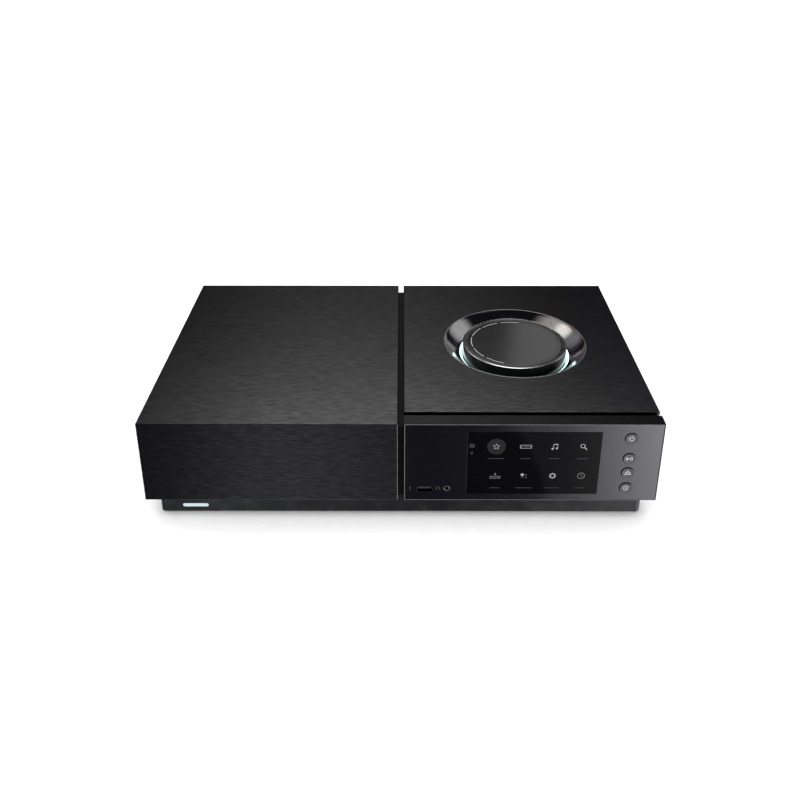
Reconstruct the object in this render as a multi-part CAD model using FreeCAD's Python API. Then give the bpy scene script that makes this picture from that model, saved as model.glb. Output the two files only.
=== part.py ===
import FreeCAD, Part
import math
import os

# Streaming amplifier: a wide cover over the power supply, beside a block with the screen and the dial.
# Frame: +X to the user's right, +Y to the rear, +Z up, in millimetres.
# The origin is on the table, under the middle of the case.

# Case
case_width = 432.0
case_depth = 265.0
case_height = 95.0
cover_height = 76.2
plate_gauge = 3.0
edge_radius = 0.5
seat_gap = 0.3
lip_gauge = 1.5
outer_lip_drop = 4.0

# Channel between the left cover and the right block
channel_width = 5.2
channel_offset = 0.3
channel_depth = 7.7
spine_gauge = 1.5
spine_ledge = 6.5
spine_front_inset = 8.0
spine_back_inset = 1.5

# Plinth, feet and the small lamp in the plinth's front
foot_height = 1.5
foot_radius = 12.0
foot_inset = 24.0
plinth_side_inset = 10.0
plinth_front_inset = 7.5
plinth_back_inset = 9.5
plinth_wall = 4.0
plinth_floor = 2.5
plinth_corner_radius = 3.0
rib_gauge = 3.0
cross_rib_count = 3
long_rib_count = 2
lamp_width = 22.0
lamp_height = 3.2
lamp_from_left = 40.0
lamp_rise = 5.9
lamp_flange = 1.4
lamp_flange_gauge = 1.2

# Folded tray that carries everything inside
tray_gauge = 1.5
tray_upstand = 12.0
tray_bend = 2.0

# Finned heat sinks on both sides
sink_base = 5.0
sink_fin_depth = 10.5
sink_overhang_inset = 3.0
sink_notch_gap = 0.3
fin_pitch = 9.6
fin_root = 3.0
fin_tip = 1.8

# Rear panel
rear_panel_inset = 8.5
rear_panel_gauge = 2.0
rear_screw_radius = 2.8
rear_screw_head = 1.6
rear_screw_shank = 1.5
rear_screw_length = 6.0
rear_screw_inset = 6.0
rear_screw_rows = 3

# Fascia of the right block
ledge_depth = 13.0
groove_width = 5.0
groove_undercut = 2.0
groove_depth = 7.5
rim_width = 0.7
rim_chamfer = 0.35
panel_setback = 0.2
panel_gauge = 2.0
panel_gap = 0.1
panel_chamfer = 0.2
backing_gauge = 1.5
cheek_gauge = 2.0
fascia_flange_gauge = 2.0
fascia_flange_depth = 10.5

# Screen
screen_width = 110.1
screen_height = 62.0
screen_offset = 0.8
screen_from_skirt = 6.7
module_border = 4.0
module_gauge = 4.0
module_gap = 0.3
control_board_gauge = 1.6
control_board_margin = 5.0
control_board_setback = 3.5
control_boss_radius = 2.4

# Round push buttons from the top down, by their rise above the skirt
button_rises = {"power_button": 62.4, "play_button": 42.7, "input_button": 28.5, "preset_button": 13.1}
button_radius = 5.5
button_share = 0.473
button_proud = 1.0
button_travel = 0.8
button_gap = 0.15
button_flange = 1.0
button_flange_gauge = 1.0
button_stem_side = 3.6
button_stem = 1.4
switch_gap = 0.1
switch_side = 6.2
switch_plunger_side = 3.0
switch_plunger = 0.5

# Sockets at the front; their shares and the buttons' are places across the blank fields beside the screen
usb_share = 0.334
usb_rise = 11.55
usb_mouth_width = 12.5
usb_mouth_height = 5.1
usb_shell = 0.4
usb_depth = 13.0
usb_tongue_width = 11.1
usb_tongue_gauge = 1.9
usb_tongue_setback = 1.6
usb_ear = 3.0
usb_ear_gauge = 1.0
jack_share = 0.688
jack_rise = 12.1
jack_bore_radius = 1.8
jack_bore_length = 14.0
jack_ring_radius = 2.8
jack_body_side = 7.2
jack_end_wall = 1.5

# Dish in the top plate and its light ring
dish_offset = -0.15
dish_from_back = 125.2
dish_rim_radius = 67.9
dish_lip_width = 1.3
dish_throat_radius = 52.4
dish_throat_drop = 12.5
dish_floor_gap = 4.0
dish_gauge = 2.0
dish_flange_width = 7.0
light_ring_gauge = 2.0
light_ring_drop = 2.0
light_ring_gap = 0.5
light_ring_sides = 48

# Dial ring, its thin bearing and the fixed hub inside it
dial_radius = 49.4
dial_drop = 1.0
dial_height = 16.0
dial_rim = 1.2
dial_band_drop = 0.5
dial_running_gap = 0.05
bearing_outer_radius = 45.95
bearing_inner_radius = 40.05
bearing_width = 5.8
hub_seat_radius = 40.0
hub_flange_radius = 43.5
hub_flange_gauge = 1.4
hub_pocket_radius = 36.5
hub_pocket_depth = 5.4
glass_radius = 44.6
glass_gauge = 2.2
glass_gap = 0.3
level_count = 11
level_radius = 41.4
level_width = 0.8
level_depth = 0.7
level_ledge_radius = 40.4
level_arc = 25.0
level_pitch = 29.4
level_first_angle = -110.0
level_board_gauge = 1.6
level_board_gap = 0.5
board_sides = 24
code_ring_gauge = 1.0
code_ring_outer = 49.0
code_ring_band = 46.5
code_tooth_tip = 43.6
code_tooth_count = 24
reader_inner_gap = 0.3
reader_outer = 45.2
reader_slot_gap = 0.7
reader_slot_depth = 2.6
reader_half_width = 5.0
reader_height = 6.4

# Mains inlet and its rocker switch
inlet_from_left = 51.0
inlet_rise = 25.2
inlet_width = 24.4
inlet_opening_height = 16.4
inlet_corner = 4.0
inlet_depth = 16.0
inlet_wall = 2.0
inlet_flange = 3.5
inlet_flange_gauge = 2.5
inlet_pin_width = 2.0
inlet_pin_height = 4.0
inlet_pin_spacing = 7.0
inlet_earth_rise = 4.0
inlet_pin_length = 12.5
rocker_from_inlet = 36.0
rocker_width = 16.0
rocker_height = 23.0
rocker_face = 3.0
rocker_hollow = 1.4
rocker_root = 4.0
rocker_tilt = 10.0
rocker_side_gap = 0.4
rocker_end_gap = 0.9
rocker_pin_radius = 1.4
rocker_pin_length = 1.2
rocker_pin_gap = 0.05
rocker_frame_wall = 2.2
rocker_frame_depth = 14.0
rocker_bezel = 1.8
rocker_bezel_gauge = 1.6

# Speaker sockets
speaker_bore_radius = 2.0
speaker_bore_length = 20.0
speaker_collar_radius = 5.8
speaker_collar = 4.0
speaker_barrel_radius = 4.4
speaker_end_wall = 2.0
speaker_pair_pitch = 19.05
speaker_row_pitch = 28.0
speaker_low_rise = 19.2
speaker_from_left = 132.0

# Phono sockets: two pairs and one for a digital lead
phono_sleeve_radius = 4.15
phono_bore_radius = 1.65
phono_bore_length = 8.0
phono_sleeve = 8.3
phono_flange_radius = 6.0
phono_flange_gauge = 1.2
phono_tail_radius = 3.6
phono_tail = 9.0
phono_column_pitch = 18.0
phono_row_pitch = 20.0
phono_low_rise = 23.2
phono_from_channel = 31.7
digital_from_right = 70.0

# Optical sockets with sprung flaps
optical_from_channel = 27.1
optical_body_width = 14.4
optical_body_height = 13.6
optical_border = 1.5
optical_proud = 2.2
optical_mouth = 9.4
optical_depth = 14.0
optical_back_wall = 2.5
ferrule_radius = 1.2
ferrule_length = 4.2
flap_gauge = 0.9
flap_gap = 0.25
flap_setback = 0.5
flap_pin_radius = 0.5
flap_pin_length = 0.8
flap_pin_gap = 0.05

# Network, video and data sockets at the rear
media_from_channel = 55.1
media_low_rise = 25.2
media_row_pitch = 22.0
network_width = 11.8
network_mouth_height = 8.0
network_latch_width = 6.0
network_latch_height = 2.4
network_wall = 1.6
network_depth = 12.0
network_back = 4.0
network_proud = 0.8
video_mouth_width = 14.0
video_mouth_height = 4.6
video_corner = 1.4
video_shell = 0.5
video_depth = 10.0
video_tongue_width = 11.2
video_tongue_gauge = 1.0
video_tongue_setback = 1.5
video_back = 2.0
rear_usb_from_channel = 81.1
socket_proud = 0.6

# Aerial sockets
tuner_from_right = 104.0
tuner_rise = 41.2
tuner_radius = 4.7
tuner_proud = 8.0
tuner_hex_radius = 7.0
tuner_hex_gauge = 2.0
wireless_from_side = 40.0
wireless_rise = 55.2
wireless_radius = 3.15
wireless_proud = 7.5
wireless_hex_radius = 4.6
wireless_hex_gauge = 1.8
aerial_tail = 8.0
aerial_cup_radius = 2.1
aerial_cup_depth = 5.0

# Power supply, whose taped ring and sleeved cans have flat sides
taped_sides = 24
sleeve_sides = 16
toroid_radius = 60.0
toroid_hole = 18.0
toroid_height = 50.0
toroid_corner = 13.0
toroid_pad = 1.5
toroid_from_left = 84.0
toroid_from_front = 82.0
clamp_radius = 34.0
clamp_gauge = 2.5
clamp_bolt_radius = 4.0
clamp_head_radius = 8.0
clamp_head = 5.0
capacitor_radius = 16.0
capacitor_height = 46.0
capacitor_count = 4
capacitor_pitch = 38.0
capacitor_from_channel = 26.0
capacitor_from_front = 46.5
capacitor_edge = 1.5

# Boards inside
post_height = 8.0
post_radius = 3.0
board_gauge = 1.6
board_margin = 7.0
power_board_gap = 8.0
board_from_sink = 8.0
board_from_rear = 18.0
main_board_from_front = 34.5
streamer_side = 44.0
streamer_length = 62.0
streamer_gauge = 3.4
streamer_can_margin = 6.0
streamer_can_height = 5.0
streamer_from_channel = 50.0
streamer_from_front = 66.0
transistor_count = 4
transistor_width = 12.6
transistor_height = 20.0
transistor_gauge = 4.8
transistor_pitch = 16.0
transistor_lift = 14.0
transistor_from_rear = 70.0

# Shortest distance that counts as apart, how far along an axis an edge must run, and the sides of a nut
SAME_PLACE = 1e-6
NEARLY_ALONG = 0.5
HEXAGON_SIDES = 6

# Places worked out from the sizes above
V = FreeCAD.Vector
right_x = case_width / 2
left_x = -right_x
back_y = case_depth / 2
front_y = -back_y
skirt_height = case_height - cover_height
plate_under = case_height - plate_gauge
channel_left = channel_offset - channel_width / 2
channel_right = channel_offset + channel_width / 2
channel_floor = case_height - channel_depth
spine_under = channel_floor - spine_gauge
spine_left = channel_left - spine_ledge - spine_gauge
spine_right = channel_right + spine_ledge + spine_gauge
spine_front = front_y + spine_front_inset
ledge_back = front_y + ledge_depth
groove_floor = case_height - groove_depth
plate_front = ledge_back + groove_width
groove_rear_wall = plate_front + groove_undercut
groove_rear = groove_rear_wall + backing_gauge
panel_face = front_y + panel_setback
panel_back = panel_face + panel_gauge
backing_back = panel_back + backing_gauge
plinth_top = skirt_height - seat_gap
plinth_left = left_x + plinth_side_inset
plinth_right = right_x - plinth_side_inset
plinth_front = front_y + plinth_front_inset
lamp_centre_height = foot_height + lamp_rise
plinth_back = back_y - plinth_back_inset
tray_floor = plinth_top + tray_gauge
tray_front = ledge_back + seat_gap
tray_side = right_x - sink_overhang_inset - sink_fin_depth - sink_base
panel_rear_face = back_y - rear_panel_inset
panel_rear_inner = panel_rear_face - rear_panel_gauge
block_centre = (channel_right + right_x) / 2
dish_x = block_centre + dish_offset
dish_y = back_y - dish_from_back
dish_throat_height = case_height - dish_throat_drop
dial_top_height = case_height - dial_drop
dial_skirt_height = dial_top_height - dial_height
dish_floor_height = dial_skirt_height - dish_floor_gap
bearing_top = dial_top_height - dial_band_drop - glass_gauge - hub_flange_gauge
glass_top = dial_top_height - dial_band_drop
glass_under = glass_top - glass_gauge
screen_left = block_centre + screen_offset - screen_width / 2
screen_right = screen_left + screen_width
screen_low = skirt_height + screen_from_skirt
screen_high = screen_low + screen_height
button_x = screen_right + button_share * (right_x - screen_right)
button_heights = {name: skirt_height + rise for name, rise in button_rises.items()}
control_board_face = backing_back + control_board_setback
usb_x = channel_right + usb_share * (screen_left - channel_right)
usb_height = skirt_height + usb_rise
jack_x = channel_right + jack_share * (screen_left - channel_right)
jack_height = skirt_height + jack_rise
inlet_x = left_x + inlet_from_left
inlet_height = skirt_height + inlet_rise
optical_column = channel_right + optical_from_channel
media_column = channel_right + media_from_channel
media_row_low = skirt_height + media_low_rise
media_row_high = media_row_low + media_row_pitch
rear_usb_column = channel_right + rear_usb_from_channel
rocker_x = inlet_x + rocker_from_inlet
rocker_pivot_y = panel_rear_face - rocker_face + rocker_face * math.cos(math.radians(rocker_tilt))
board_under = tray_floor + post_height
board_top = board_under + board_gauge


def block(x0, x1, y0, y1, z0, z1):
    """Rectangular block between two corners."""
    return Part.makeBox(x1 - x0, y1 - y0, z1 - z0, V(x0, y0, z0))


def post(x, y, z0, z1, radius):
    """Upright cylinder."""
    return Part.makeCylinder(radius, z1 - z0, V(x, y, z0))


def rod(x, z, y0, y1, radius):
    """Cylinder that runs from front to rear."""
    return Part.makeCylinder(radius, y1 - y0, V(x, y0, z), V(0, 1, 0))


def pin(y, z, x0, x1, radius):
    """Cylinder that runs from side to side."""
    return Part.makeCylinder(radius, x1 - x0, V(x0, y, z), V(1, 0, 0))


def face(points):
    """Flat face inside a closed run of points."""
    return Part.Face(Part.makePolygon(points + [points[0]]))


def turned(x, y, profile):
    """Solid turned about an upright axis from pairs of radius and height."""
    outline = face([V(x + radius, y, height) for radius, height in profile])
    return outline.revolve(V(x, y, 0), V(0, 0, 1), 360)


def ring(x, y, z0, z1, inner, outer):
    """Flat upright ring."""
    return post(x, y, z0, z1, outer).cut(post(x, y, z0, z1, inner))


def capsule(x, z, y0, y1, width, height):
    """Bar with half-round ends that runs from front to rear."""
    half = (width - height) / 2
    bar = block(x - half, x + half, y0, y1, z - height / 2, z + height / 2)
    ends = [rod(x + side * half, z, y0, y1, height / 2) for side in (-1, 1)]
    return bar.fuse(ends).removeSplitter()


def even_sided(radius, sides, place):
    """Face with even sides; place turns its two flat coordinates into a point in space."""
    turns = [math.tau * i / sides for i in range(sides)]
    return face([place(radius * math.cos(a), radius * math.sin(a)) for a in turns])


def prism(x, y, z0, z1, radius, sides):
    """Upright prism."""
    return even_sided(radius, sides, lambda u, v: V(x + u, y + v, z0)).extrude(V(0, 0, z1 - z0))


def hexagon_rod(x, z, y0, y1, radius):
    """Hexagonal rod that runs from front to rear."""
    return even_sided(radius, HEXAGON_SIDES, lambda u, v: V(x + u, y0, z + v)).extrude(V(0, y1 - y0, 0))


def square_rod(x, z, y0, y1, side):
    """Square rod that runs from front to rear."""
    return block(x - side / 2, x + side / 2, y0, y1, z - side / 2, z + side / 2)


def edges_along(edges, axis):
    """Those edges that run along one axis."""
    return [e for e in edges if abs(getattr(e.tangentAt(e.FirstParameter), axis)) > NEARLY_ALONG]


def edges_in_planes(solid, **planes):
    """Edges that lie in any of the planes, each given as an axis and its value."""
    def lies_in(edge, axis, value):
        return all(abs(getattr(v.Point, axis) - value) < SAME_PLACE for v in edge.Vertexes)

    return [e for e in solid.Edges if any(lies_in(e, axis, value) for axis, value in planes.items())]


def rounded_block(x0, x1, y0, y1, z0, z1, radius):
    """Block with rounded upright corners."""
    solid = block(x0, x1, y0, y1, z0, z1)
    return solid.makeFillet(radius, edges_along(solid.Edges, "z"))


def bevelled_flange(x, z, half_width, half_height, y0, y1):
    """Plate with cut corners that stands on the rear panel."""
    plate = block(x - half_width, x + half_width, y0, y1, z - half_height, z + half_height)
    return plate.makeChamfer(y1 - y0, edges_along(plate.Edges, "y"))


def together(solids):
    """Separate solids kept as one group."""
    return Part.makeCompound([s for shape in solids for s in shape.Solids])


def make_feet():
    """Four low rubber discs under the plinth."""
    return together([post(x, y, 0, foot_height, foot_radius) for x, y in foot_places()])


def foot_places():
    """Centres of the four feet."""
    xs = (plinth_left + foot_inset, plinth_right - foot_inset)
    ys = (plinth_front + foot_inset, plinth_back - foot_inset)
    return [(x, y) for x in xs for y in ys]


def make_plinth():
    """Shallow cast tray with stiffening ribs, which sets the case back above the table."""
    body = rounded_block(plinth_left, plinth_right, plinth_front, plinth_back, foot_height, plinth_top,
                         plinth_corner_radius)
    inner = (plinth_left + plinth_wall, plinth_right - plinth_wall,
             plinth_front + plinth_wall, plinth_back - plinth_wall)
    floor = foot_height + plinth_floor
    body = body.cut(block(*inner, floor, plinth_top))
    ribs = []
    for i in range(cross_rib_count):
        x = inner[0] + (inner[1] - inner[0]) * (i + 1) / (cross_rib_count + 1)
        ribs.append(block(x - rib_gauge / 2, x + rib_gauge / 2, inner[2], inner[3], floor, plinth_top))
    for i in range(long_rib_count):
        y = inner[2] + (inner[3] - inner[2]) * (i + 1) / (long_rib_count + 1)
        ribs.append(block(inner[0], inner[1], y - rib_gauge / 2, y + rib_gauge / 2, floor, plinth_top))
    body = body.fuse(ribs).removeSplitter()
    return body.cut(capsule(left_x + lamp_from_left, lamp_centre_height, plinth_front, inner[2],
                            lamp_width + 2 * panel_gap, lamp_height + 2 * panel_gap))


def make_plinth_lamp():
    """Clear bar lens in the plinth's front wall, with a flange behind the wall."""
    x = left_x + lamp_from_left
    back = plinth_front + plinth_wall
    lens = capsule(x, lamp_centre_height, plinth_front, back, lamp_width, lamp_height)
    half_width = lamp_width / 2 + lamp_flange
    half_height = lamp_height / 2 + lamp_flange
    flange = block(x - half_width, x + half_width, back, back + lamp_flange_gauge,
                   lamp_centre_height - half_height, lamp_centre_height + half_height)
    return lens.fuse(flange).removeSplitter()


def usb_window(y0, y1, gap):
    """Opening round the front data socket, with a gap on all sides."""
    half_width = usb_mouth_width / 2 + usb_shell + gap
    half_height = usb_mouth_height / 2 + usb_shell + gap
    return block(usb_x - half_width, usb_x + half_width, y0, y1,
                 usb_height - half_height, usb_height + half_height)


def make_tray():
    """Folded steel tray: floor, low side upstands and a tall front wall with windows for the sockets."""
    side = tray_side
    low = plinth_top
    outer = block(-side, side, tray_front, panel_rear_inner, low, low + tray_upstand)
    outer = outer.makeFillet(tray_bend + tray_gauge, edges_along(edges_in_planes(outer, z=low), "y"))
    inner = block(tray_gauge - side, side - tray_gauge, tray_front, panel_rear_inner,
                  tray_floor, low + tray_upstand + tray_gauge)
    inner = inner.makeFillet(tray_bend, edges_along(edges_in_planes(inner, z=tray_floor), "y"))
    wall = block(-side + tray_bend, side - tray_bend, tray_front, tray_front + tray_gauge,
                 tray_floor, spine_under - seat_gap)
    tray = outer.cut(inner).fuse(wall).removeSplitter()
    windows = [
        usb_window(tray_front, tray_front + tray_gauge, module_gap),
        square_rod(jack_x, jack_height, tray_front, tray_front + tray_gauge, jack_body_side + 2 * module_gap),
    ]
    return tray.cut(windows)


def make_heat_sink(side):
    """Extruded heat sink with upright tapered fins; side is -1 on the left and 1 on the right."""
    start = tray_front
    length = panel_rear_inner - start
    count = int((length - fin_root) // fin_pitch) + 1
    first = start + (length - (count - 1) * fin_pitch) / 2
    base = tray_side + sink_base
    tip = base + sink_fin_depth
    points = [(tray_side, start), (base, start)]
    for i in range(count):
        middle = first + i * fin_pitch
        points += [(base, middle - fin_root / 2), (tip, middle - fin_tip / 2)]
        points += [(tip, middle + fin_tip / 2), (base, middle + fin_root / 2)]
    points += [(base, start + length), (tray_side, start + length)]
    outline = face([V(side * x, y, plinth_top) for x, y in points])
    sink = outline.extrude(V(0, 0, plate_under - plinth_top))
    holes = [hexagon_rod(x, z, panel_rear_inner - rear_screw_length, panel_rear_inner,
                         rear_screw_shank + panel_gap)
             for x, z in screw_places() if x * side > 0]
    if side > 0:
        holes.append(block(tray_side, tip, start, groove_rear + sink_notch_gap,
                           groove_floor - backing_gauge - sink_notch_gap, plate_under))
    return sink.cut(holes)


def make_left_cover():
    """Plate that wraps the top and the front of the left block, with a lip along each side."""
    top = block(left_x, channel_left, front_y, back_y, plate_under, case_height)
    front = block(left_x, channel_left, front_y, front_y + plate_gauge, skirt_height, case_height)
    cover = top.fuse(front).removeSplitter()
    cover = cover.makeFillet(edge_radius, edges_in_planes(cover, z=case_height, y=front_y))
    inside = front_y + plate_gauge
    edge = channel_left - lip_gauge
    lips = [
        block(edge, channel_left, inside, back_y, channel_floor + seat_gap, plate_under),
        block(edge, channel_left, inside, spine_front - seat_gap, skirt_height, plate_under),
        block(left_x, left_x + lip_gauge, inside, back_y, plate_under - outer_lip_drop, plate_under),
    ]
    cheek = block(left_x, left_x + cheek_gauge, inside, ledge_back, skirt_height, plate_under)
    flange = block(left_x, spine_left - seat_gap, inside, front_y + fascia_flange_depth,
                   skirt_height, skirt_height + fascia_flange_gauge)
    return cover.fuse(lips + [cheek, flange]).removeSplitter()


def make_top_plate():
    """Plate over the right block, with the round hole for the dish and a lip along each side."""
    plate = block(channel_right, right_x, plate_front, back_y, plate_under, case_height)
    plate = plate.makeFillet(edge_radius, edges_in_planes(plate, z=case_height))
    start = groove_rear + seat_gap
    lips = [
        block(channel_right, channel_right + lip_gauge, start, back_y, channel_floor + seat_gap, plate_under),
        block(right_x - lip_gauge, right_x, start, back_y, plate_under - outer_lip_drop, plate_under),
    ]
    plate = plate.fuse(lips).removeSplitter()
    return plate.cut(post(dish_x, dish_y, plate_under, case_height, dish_rim_radius + panel_gap))


def make_spine():
    """Trough under the channel: it runs from front to rear, turns down the front and carries both covers."""
    back = back_y - spine_back_inset
    right_start = groove_rear + seat_gap

    def trough(x0, x1, y0, y1, walls):
        floor = block(x0, x1, y0, y1, spine_under, channel_floor)
        return floor.fuse([block(x, x + spine_gauge, y0, y1, spine_under, plate_under) for x in walls])

    left_half = trough(spine_left, channel_right, spine_front, back, [spine_left])
    right_half = trough(channel_right, spine_right, right_start, back, [spine_right - spine_gauge])
    drop = block(spine_left, channel_right, spine_front, spine_front + spine_gauge, plinth_top, channel_floor)
    rail = block(spine_left, spine_left + spine_gauge, front_y + plate_gauge, spine_front + spine_gauge,
                 skirt_height, plate_under)
    return left_half.fuse([right_half, drop, rail]).removeSplitter()


def make_fascia():
    """Extruded frame of the right block's front: rim, top ledge, groove, backing wall, cheeks and bosses."""
    groove_under = groove_floor - backing_gauge
    ledge_web = ledge_back - backing_gauge
    flange_top = skirt_height + fascia_flange_gauge
    flange_back = front_y + fascia_flange_depth
    section = [
        (front_y, skirt_height), (front_y, case_height), (ledge_back, case_height),
        (ledge_back, groove_floor), (groove_rear_wall, groove_floor), (groove_rear_wall, plate_under),
        (groove_rear, plate_under),
        (groove_rear, groove_under), (ledge_web, groove_under), (ledge_web, plate_under),
        (backing_back, plate_under), (backing_back, flange_top), (flange_back, flange_top),
        (flange_back, skirt_height),
    ]
    outline = face([V(channel_right, y, z) for y, z in section])
    frame = outline.extrude(V(right_x - channel_right, 0, 0))
    cheeks = [block(x, x + cheek_gauge, front_y, ledge_back, skirt_height, case_height)
              for x in (channel_right, right_x - cheek_gauge)]
    frame = frame.fuse(cheeks).removeSplitter()
    frame = frame.makeChamfer(rim_chamfer, edges_in_planes(frame, y=front_y))
    pocket = block(channel_right + rim_width, right_x - rim_width, front_y, panel_back,
                   skirt_height + rim_width, case_height - rim_width)
    border = module_border + module_gap
    windows = [block(screen_left - border, screen_right + border, panel_back, backing_back,
                     screen_low - border, screen_high + border)]
    slot = button_radius + button_flange + module_gap
    heights = button_heights.values()
    windows.append(block(button_x - slot, button_x + slot, panel_back, backing_back,
                         min(heights) - slot, max(heights) + slot))
    windows.append(usb_window(panel_back, backing_back, module_gap))
    windows.append(square_rod(jack_x, jack_height, panel_back, backing_back, jack_body_side + 2 * panel_gap))
    bosses = [hexagon_rod(x, z, backing_back, control_board_face, control_boss_radius)
              for x, z in boss_places()]
    return frame.cut([pocket] + windows).fuse(bosses).removeSplitter()


def boss_places():
    """Centres of the bosses that carry the control board."""
    reach = module_border + module_gap + control_boss_radius + seat_gap
    xs = (screen_left - reach, screen_right + reach, right_x - cheek_gauge - control_board_margin)
    zs = (skirt_height + control_board_margin + control_boss_radius,
          plate_under - control_board_margin - control_boss_radius)
    return [(x, z) for x in xs for z in zs]


def make_front_panel():
    """Dark panel in the fascia's pocket, with a window for the screen and holes for buttons and sockets."""
    gap = rim_width + panel_gap
    panel = block(channel_right + gap, right_x - gap, panel_face, panel_back,
                  skirt_height + gap, case_height - gap)
    panel = panel.makeChamfer(panel_chamfer, edges_in_planes(panel, y=panel_face))
    cuts = [block(screen_left, screen_right, panel_face, panel_back, screen_low, screen_high)]
    cuts += [rod(button_x, z, panel_face, panel_back, button_radius + button_gap)
             for z in button_heights.values()]
    cuts.append(usb_window(panel_face, panel_back, panel_gap))
    cuts.append(rod(jack_x, jack_height, panel_face, panel_back, jack_ring_radius + panel_gap))
    return panel.cut(cuts)


def make_screen_glass():
    """Pane that fills the panel's window."""
    pane = block(screen_left + panel_gap, screen_right - panel_gap, panel_face, panel_back,
                 screen_low + panel_gap, screen_high - panel_gap)
    return pane.makeChamfer(panel_chamfer, edges_in_planes(pane, y=panel_face))


def make_display_module():
    """Flat display with its metal surround, behind the pane."""
    surround = block(screen_left - module_border, screen_right + module_border, panel_back,
                     panel_back + module_gauge, screen_low - module_border, screen_high + module_border)
    return surround.makeChamfer(panel_chamfer, edges_in_planes(surround, y=panel_back + module_gauge))


def make_control_board():
    """Board behind the display, on the fascia's bosses."""
    xs = [x for x, z in boss_places()]
    zs = [z for x, z in boss_places()]
    margin = control_boss_radius
    return block(min(xs) - margin, max(xs) + margin, control_board_face,
                 control_board_face + control_board_gauge, min(zs) - margin, max(zs) + margin)


def make_button(height):
    """Round push button: cap through the panel, square flange behind it, and a stem."""
    flange_face = panel_back + panel_gap
    flange_back = flange_face + button_flange_gauge
    cap = rod(button_x, height, panel_face - button_proud, flange_face, button_radius)
    flange = square_rod(button_x, height, flange_face, flange_back, 2 * (button_radius + button_flange))
    stem = square_rod(button_x, height, flange_back, flange_back + button_stem, button_stem_side)
    return cap.fuse([flange, stem]).removeSplitter()


def make_switches():
    """Four small switches on the control board, one behind each button's stem."""
    stem_end = panel_back + panel_gap + button_flange_gauge + button_stem
    plunger_end = stem_end + button_travel + switch_gap
    body_face = plunger_end + switch_plunger
    switches = []
    for z in button_heights.values():
        body = square_rod(button_x, z, body_face, control_board_face, switch_side)
        switches.append(body.fuse(square_rod(button_x, z, plunger_end, body_face, switch_plunger_side)))
    return together(switches)


def make_usb(x, z, mouth, inward, ear_face):
    """Data socket: thin shell, tongue, rear wall and ears; inward is 1 at the front and -1 at the rear."""
    def along(x0, x1, d0, d1, z0, z1):
        ys = sorted((mouth + inward * d0, mouth + inward * d1))
        return block(x0, x1, ys[0], ys[1], z0, z1)

    half_width = usb_mouth_width / 2
    half_height = usb_mouth_height / 2
    shell = along(x - half_width - usb_shell, x + half_width + usb_shell, 0, usb_depth,
                  z - half_height - usb_shell, z + half_height + usb_shell)
    hollow = along(x - half_width, x + half_width, 0, usb_depth - usb_ear_gauge,
                   z - half_height, z + half_height)
    tongue_top = z + half_height - usb_tongue_gauge + usb_shell
    tongue = along(x - usb_tongue_width / 2, x + usb_tongue_width / 2, usb_tongue_setback, usb_depth,
                   tongue_top - usb_tongue_gauge, tongue_top)
    ears = along(x - half_width - usb_ear, x + half_width + usb_ear, ear_face, ear_face + usb_ear_gauge,
                 z - half_height - usb_shell, z + half_height + usb_shell)
    return shell.fuse(ears).cut(hollow).fuse(tongue).removeSplitter()


def make_front_usb():
    """Data socket at the front, its ears behind the fascia."""
    return make_usb(usb_x, usb_height, panel_face, 1, backing_back - panel_face)


def make_headphone_socket():
    """Headphone socket: a ring round the mouth and a square body behind the panel, with a blind bore."""
    body_back = panel_face + jack_bore_length + jack_end_wall
    nose = rod(jack_x, jack_height, panel_face, panel_back, jack_ring_radius)
    body = square_rod(jack_x, jack_height, panel_back, body_back, jack_body_side)
    bore = rod(jack_x, jack_height, panel_face, panel_face + jack_bore_length, jack_bore_radius)
    return nose.fuse(body).removeSplitter().cut(bore)


def make_dish():
    """Bowl round the dial: bright lip, conical wall, upright throat, flat floor and a flange."""
    lip = dish_rim_radius - dish_lip_width
    back = dish_throat_radius + dish_gauge
    flange = dish_rim_radius + dish_flange_width
    floor_under = dish_floor_height - dish_gauge
    flange_under = plate_under - dish_gauge
    return turned(dish_x, dish_y, [
        (lip, case_height), (dish_throat_radius, dish_throat_height), (dish_throat_radius, dish_floor_height),
        (0, dish_floor_height), (0, floor_under), (back, floor_under), (lip - dish_gauge, flange_under),
        (flange, flange_under), (flange, plate_under), (dish_rim_radius, plate_under),
        (dish_rim_radius, case_height),
    ])


def make_light_ring():
    """Frosted strip bent into a ring, which glows up between the dial and the dish's throat."""
    top = dish_throat_height - light_ring_drop
    low = top - light_ring_gauge
    strip = prism(dish_x, dish_y, low, top, dish_throat_radius - panel_gap, light_ring_sides)
    return strip.cut(prism(dish_x, dish_y, low, top, dial_radius + light_ring_gap, light_ring_sides))


def make_dial_ring():
    """Turned ring that the hand turns: raised outer lip, flat top band and a bore over the bearing."""
    glass_bore = glass_radius + glass_gap
    bore = bearing_outer_radius + dial_running_gap
    shoulder = bearing_top + dial_running_gap
    lip = dial_radius - dial_rim
    return turned(dish_x, dish_y, [
        (bore, dial_skirt_height), (dial_radius, dial_skirt_height), (dial_radius, dial_top_height),
        (lip, dial_top_height), (lip, glass_top), (glass_bore, glass_top), (glass_bore, shoulder),
        (bore, shoulder),
    ])


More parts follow.
